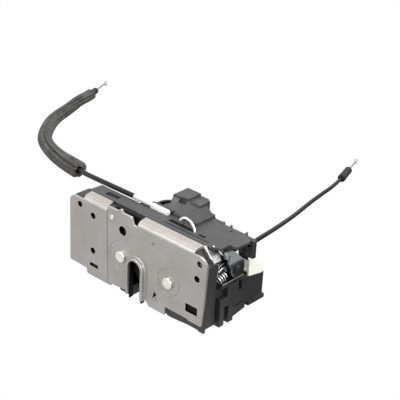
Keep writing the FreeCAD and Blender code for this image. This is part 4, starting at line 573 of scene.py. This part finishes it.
def stations(points, start, end, step):
    """Even places along a line, in metres, as matrices whose Z axis runs along the line."""
    found = []
    travelled = 0.0
    wanted = start
    side = Vector((0, 0, 1))
    for here, there in zip(points, points[1:]):
        run = (there - here).length
        along = (there - here).normalized()
        while wanted <= min(travelled + run, end):
            spot = here + along * (wanted - travelled)
            side = (side - along * side.dot(along)).normalized()
            turn = Matrix((side, along.cross(side), along)).transposed().to_4x4()
            found.append(Matrix.Translation(spot) @ turn)
            wanted += step
        travelled += run
    return found


def bump(turn, middle, half):
    """How close an angle is to a middle angle: one at the middle, falling off over half degrees."""
    off = (turn - middle + 180) % 360 - 180
    return math.exp(-(off / half) ** 2)


def wrap_radius(turn, share):
    """The radius of the wrap's skin at an angle and a share of its length."""
    wide = WRAP_WIDE[0] + (WRAP_WIDE[1] - WRAP_WIDE[0]) * share
    radius = WRAP_R * (1 - WRAP_TAPER * share) * (1 + WRAP_FLAT * math.cos(math.radians(2 * (turn - wide))))
    slow = math.sin(11 * share + 1)
    quick = math.sin(23 * share + math.radians(turn))
    radius *= 1 + WRAP_SWELL[0] * slow + WRAP_SWELL[1] * quick
    for first, last, depth, half, waves in WRAP_FOLDS:
        middle = first + (last - first) * share + FOLD_WANDER * math.sin(waves * share + first)
        uneven = FOLD_EVEN + (1 - FOLD_EVEN) * math.sin(waves * share)
        radius -= WRAP_R * depth * uneven * bump(turn, middle, half)
    return max(radius, WRAP_LEAST_CAP if share > WRAP_CAP_FROM else WRAP_LEAST)


def wrap_corner(turn, share, layer):
    """A corner's radius, and how far it stands out of the wrap's near or far end."""
    end = 0 if share < 0.5 else 1
    if layer == SKIN:
        return wrap_radius(turn, share), 0.0
    if layer == MOUTH:
        return TAG_R[end], 0.0
    if layer == LINING:
        return LINING_R[end], 0.0
    past = TAG_OUT + sum(long * bump(turn, middle, TAG_HALF) for middle, long in TAGS[end])
    radius = TAG_R[end] if layer == TAGS_OUTSIDE else TAG_R[end] - TAG_THICK
    return radius, past if end else -past


def foam_wrap():
    """Foam tape wrapped lengthwise round the cable: deep folds, square ends and ragged inner layers."""
    line = line_of(ROUTE1)
    line.append(line[-1] + Vector(END1) * WRAP_PAST * MM)
    places = stations(line, WRAP_START * MM, WRAP_END * MM, WRAP_STEP * MM)
    last = len(places) - 1
    bm = bmesh.new()
    # station: how many steps along the cable a corner lies
    station = bm.verts.layers.float.new("station")
    layer = bm.verts.layers.int.new("layer")
    loop = bmesh.ops.create_circle(bm, segments=WRAP_SIDES, radius=1.0, cap_ends=False)
    near_end = list({e for v in loop["verts"] for e in v.link_edges})
    ring = near_end
    for i in range(1, last + 1):
        ring, corners = grow(bm, ring)
        for v in corners:
            v[station] = i
    for edges, end, inward in ((near_end, 0, 1), (ring, last, -1)):
        inner = edges
        for kind, shift in ((MOUTH, 0), (TAGS_OUTSIDE, 0), (TAGS_INSIDE, 0), (LINING, LINING_DEEP * inward)):
            inner, corners = grow(bm, inner)
            for v in corners:
                v[layer] = kind
                v[station] = end + shift
    lowest = CAD_BOX[0].z + WRAP_OFF_FLOOR * MM
    for v in bm.verts:
        turn = math.degrees(math.atan2(v.co.y, v.co.x))
        i = round(v[station])
        radius, past = wrap_corner(turn, i / last, v[layer])
        flat = Vector((math.cos(math.radians(turn)), math.sin(math.radians(turn)), 0)) * radius * MM
        flat.z = past * MM
        v.co = places[i] @ flat
        v.co.z = max(v.co.z, lowest)
    bmesh.ops.recalc_face_normals(bm, faces=bm.faces)
    wrap = finish_mesh(bm, "foam_wrap", materials["foam_tape"])
    smooth = wrap.modifiers.new("soft", "SUBSURF")
    smooth.levels = 1
    smooth.render_levels = 1
    return wrap


# The cables

def cable_end(number, at, way, cap_steps):
    """The cap at a cable's end and the barrel nipple across the end of its inner wire."""
    node = "cable%d_" % number
    cap = settle(turned(cap_steps, at, way), "cap%d" % number, "soft_black", "housing", node + "cap")
    low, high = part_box(node + "nipple")
    middle = (low + high) / 2 / MM - Vector(way) * BARREL_BACK
    barrel = turned(BARREL_STEPS, middle, (0, 0, 1), BARREL_SIDES, BARREL_EDGE)
    nipple = settle(barrel, "barrel%d" % number, "acetal_white", node + "core", node + "nipple")
    return [cap.name, nipple.name, node + "wire"]


def make_cables():
    wrap = foam_wrap()
    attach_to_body(wrap, "housing")
    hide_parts("foam_sleeve")

    cable1 = route_curve("cable1_cord", ROUTE1, CABLE1_R)
    cable2 = route_curve("cable2_cord", ROUTE2, CABLE2_R)
    for cord, node in ((cable1, "cable1_sheath"), (cable2, "cable2_sheath")):
        cord.data.materials.append(materials["cable_sheath"])
        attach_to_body(cord, "housing")
        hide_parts(node)
    end1 = cable_end(1, ROUTE1[-1], END1, CAP1_STEPS)
    end2 = cable_end(2, ROUTE2[-1], END2, CAP2_STEPS)


# Small parts

def strip_fittings():
    """The inside cable's bar and sleeve on the strip, and the slider's bent loop."""
    bar = moulded_block(ANCHOR_BAR, ANCHOR_EDGE)
    settle(bar, "anchor_bar", "acetal_white", "housing", "cable1_anchor")
    sleeve = turned(SLEEVE_STEPS, SLEEVE_AT, (1, 0, 0), SLEEVE_SIDES, SLEEVE_EDGE)
    settle(sleeve, "clear_sleeve", "acetal_clear", "housing", "cable1_ferrule")
    wire_piece("bent_loop", LOOP_ROUTE, LOOP_R, "acetal_white", "slider", "release_loop")
    wire_piece("loop_core", CORE_ROUTE, CORE_R, "spring_steel", "slider")


def socket_skirt():
    """The black edge below the ivory block, cut off at a slant towards the back."""
    skirt = moulded_block(SKIRT)
    bmesh.ops.bisect_plane(skirt, geom=skirt.verts[:] + skirt.edges[:] + skirt.faces[:], dist=1e-7,
                           plane_co=Vector(SKIRT_CUT_AT) * MM, plane_no=SKIRT_CUT_WAY, clear_outer=True)
    bmesh.ops.contextual_create(skirt, geom=[e for e in skirt.edges if e.is_boundary])
    settle(skirt, "socket_skirt", "black_nylon", "housing")


def cover_and_bay_fittings():
    """Small parts on the cover, at the tab's front and in the open bay, and black sheets of painted shade
    behind the right window and along the strip.
    """
    # The second block wears the cover's nylon, painted lighter as the light on the top
    settle(moulded_block(SECOND_BLOCK, BLOCK_EDGE), "second_block", "top_lit_nylon", "housing")
    # Painted shade: a black sheet behind the right window
    settle(moulded_block(WINDOW_SHADE), "window_shade", "deep_black", "housing")
    # Painted shadow: a black line along the strip's front edge
    settle(moulded_block(STRIP_SHADOW), "strip_shadow", "deep_black", "housing")
    band = moulded_block(TAB_BAND, BLOCK_EDGE)
    bmesh.ops.rotate(band, verts=band.verts, matrix=Matrix.Rotation(math.radians(TAB_TURN), 3, "Y"))
    bmesh.ops.translate(band, verts=band.verts, vec=Vector(TAB_AT) * MM)
    settle(band, "tab_front", "bright_steel", "housing")
    wire_piece("corner_wire", CORNER_ROUTE, CORNER_R, "bright_steel", "housing")
    settle(moulded_block(SILL_STRIP, THIN_EDGE), "bay_sill_strip", "bright_steel", "housing")
    spring = coil(SPRING_AT, SPRING_WAY, SPRING_R, SPRING_WIRE, SPRING_TURNS, SPRING_PITCH)
    settle(spring, "bay_spring", "bright_steel", "housing")
    wire_piece("bay_link", LINK_ROUTE, LINK_R, "bright_steel", "housing")
    settle(moulded_block(BAY_PANEL, THIN_EDGE), "bay_panel", "ivory_plastic", "housing")
    socket_skirt()


# Floor, light and camera

def pick_by_ray(tree, seen, mirrored, lit):
    """One shader for what the camera sees, one for mirror reflections and one for all other light."""
    ray = add_node(tree, "ShaderNodeLightPath").outputs
    links = {"Fac": ray["Is Glossy Ray"], 1: lit.outputs[0], 2: mirrored.outputs[0]}
    mirror = add_node(tree, "ShaderNodeMixShader", links=links)
    links = {"Fac": ray["Is Camera Ray"], 1: mirror.outputs["Shader"], 2: seen.outputs[0]}
    return add_node(tree, "ShaderNodeMixShader", links=links).outputs["Shader"]


def make_floor():
    """A pale floor whose mirror image is bright before the plate and dim beside the casing."""
    bm = bmesh.new()
    bmesh.ops.create_grid(bm, x_segments=1, y_segments=1, size=FLOOR_SIZE / 2)
    bmesh.ops.translate(bm, verts=bm.verts, vec=(0, 0, FLOOR_Z))
    material, tree, place = start_material("pale_floor")
    strength = graded(tree, place, "Y", FLOOR_MIRRORED_Y, FLOOR_MIRRORED)
    seen = add_node(tree, "ShaderNodeEmission", {"Color": WHITE, "Strength": FLOOR_WHITE})
    mirrored = add_node(tree, "ShaderNodeEmission", {"Color": WHITE}, {"Strength": strength})
    lit = add_node(tree, "ShaderNodeBsdfDiffuse", {"Color": linear(FLOOR_PAPER)})
    picked = pick_by_ray(tree, seen, mirrored, lit)
    add_node(tree, "ShaderNodeOutputMaterial", links={"Surface": picked})
    finish_mesh(bm, "floor", material, False)


def make_world():
    """White behind the object, soft light all round, and reflections that darken towards the horizon."""
    world = bpy.data.worlds.new("studio")
    bpy.context.scene.world = world
    world.use_nodes = True
    tree = world.node_tree
    tree.nodes.clear()
    way = add_node(tree, "ShaderNodeTexCoord").outputs["Generated"]
    strength = graded(tree, way, "Z", SKY_MIRRORED_Z, SKY_MIRRORED)
    lit = add_node(tree, "ShaderNodeBackground", {"Color": linear(SKY_COLOUR), "Strength": SKY_LIGHT})
    mirrored = add_node(tree, "ShaderNodeBackground", {"Color": WHITE}, {"Strength": strength})
    seen = add_node(tree, "ShaderNodeBackground", {"Color": WHITE, "Strength": 1.0})
    picked = pick_by_ray(tree, seen, mirrored, lit)
    add_node(tree, "ShaderNodeOutputWorld", links={"Surface": picked})


def make_lamp(name, spot, aim, size, watts):
    data = bpy.data.lights.new(name, "AREA")
    data.size = size
    data.energy = watts
    lamp = place_object(name, data)
    lamp.location = spot
    lamp.rotation_mode = "QUATERNION"
    lamp.rotation_quaternion = (Vector(aim) - Vector(spot)).to_track_quat("-Z", "Y")


def make_camera():
    data = bpy.data.cameras.new("camera")
    data.lens = CAMERA_LENS
    data.sensor_width = CAMERA_SENSOR
    data.sensor_fit = "HORIZONTAL"
    data.clip_start, data.clip_end = CAMERA_RANGE
    camera = place_object("camera", data)
    back = CAMERA_RIGHT.cross(CAMERA_UP)
    turn = Matrix((CAMERA_RIGHT, CAMERA_UP, back)).transposed().to_4x4()
    camera.matrix_world = Matrix.Translation(CAMERA_AT) @ turn
    bpy.context.scene.camera = camera


materials = make_materials()
dress_nodes()
make_cables()
strip_fittings()
cover_and_bay_fittings()
make_floor()
make_world()
for lamp_name, lamp_facts in LAMPS.items():
    make_lamp(lamp_name, *lamp_facts)
make_camera()
bpy.context.scene.view_settings.view_transform = "Standard"
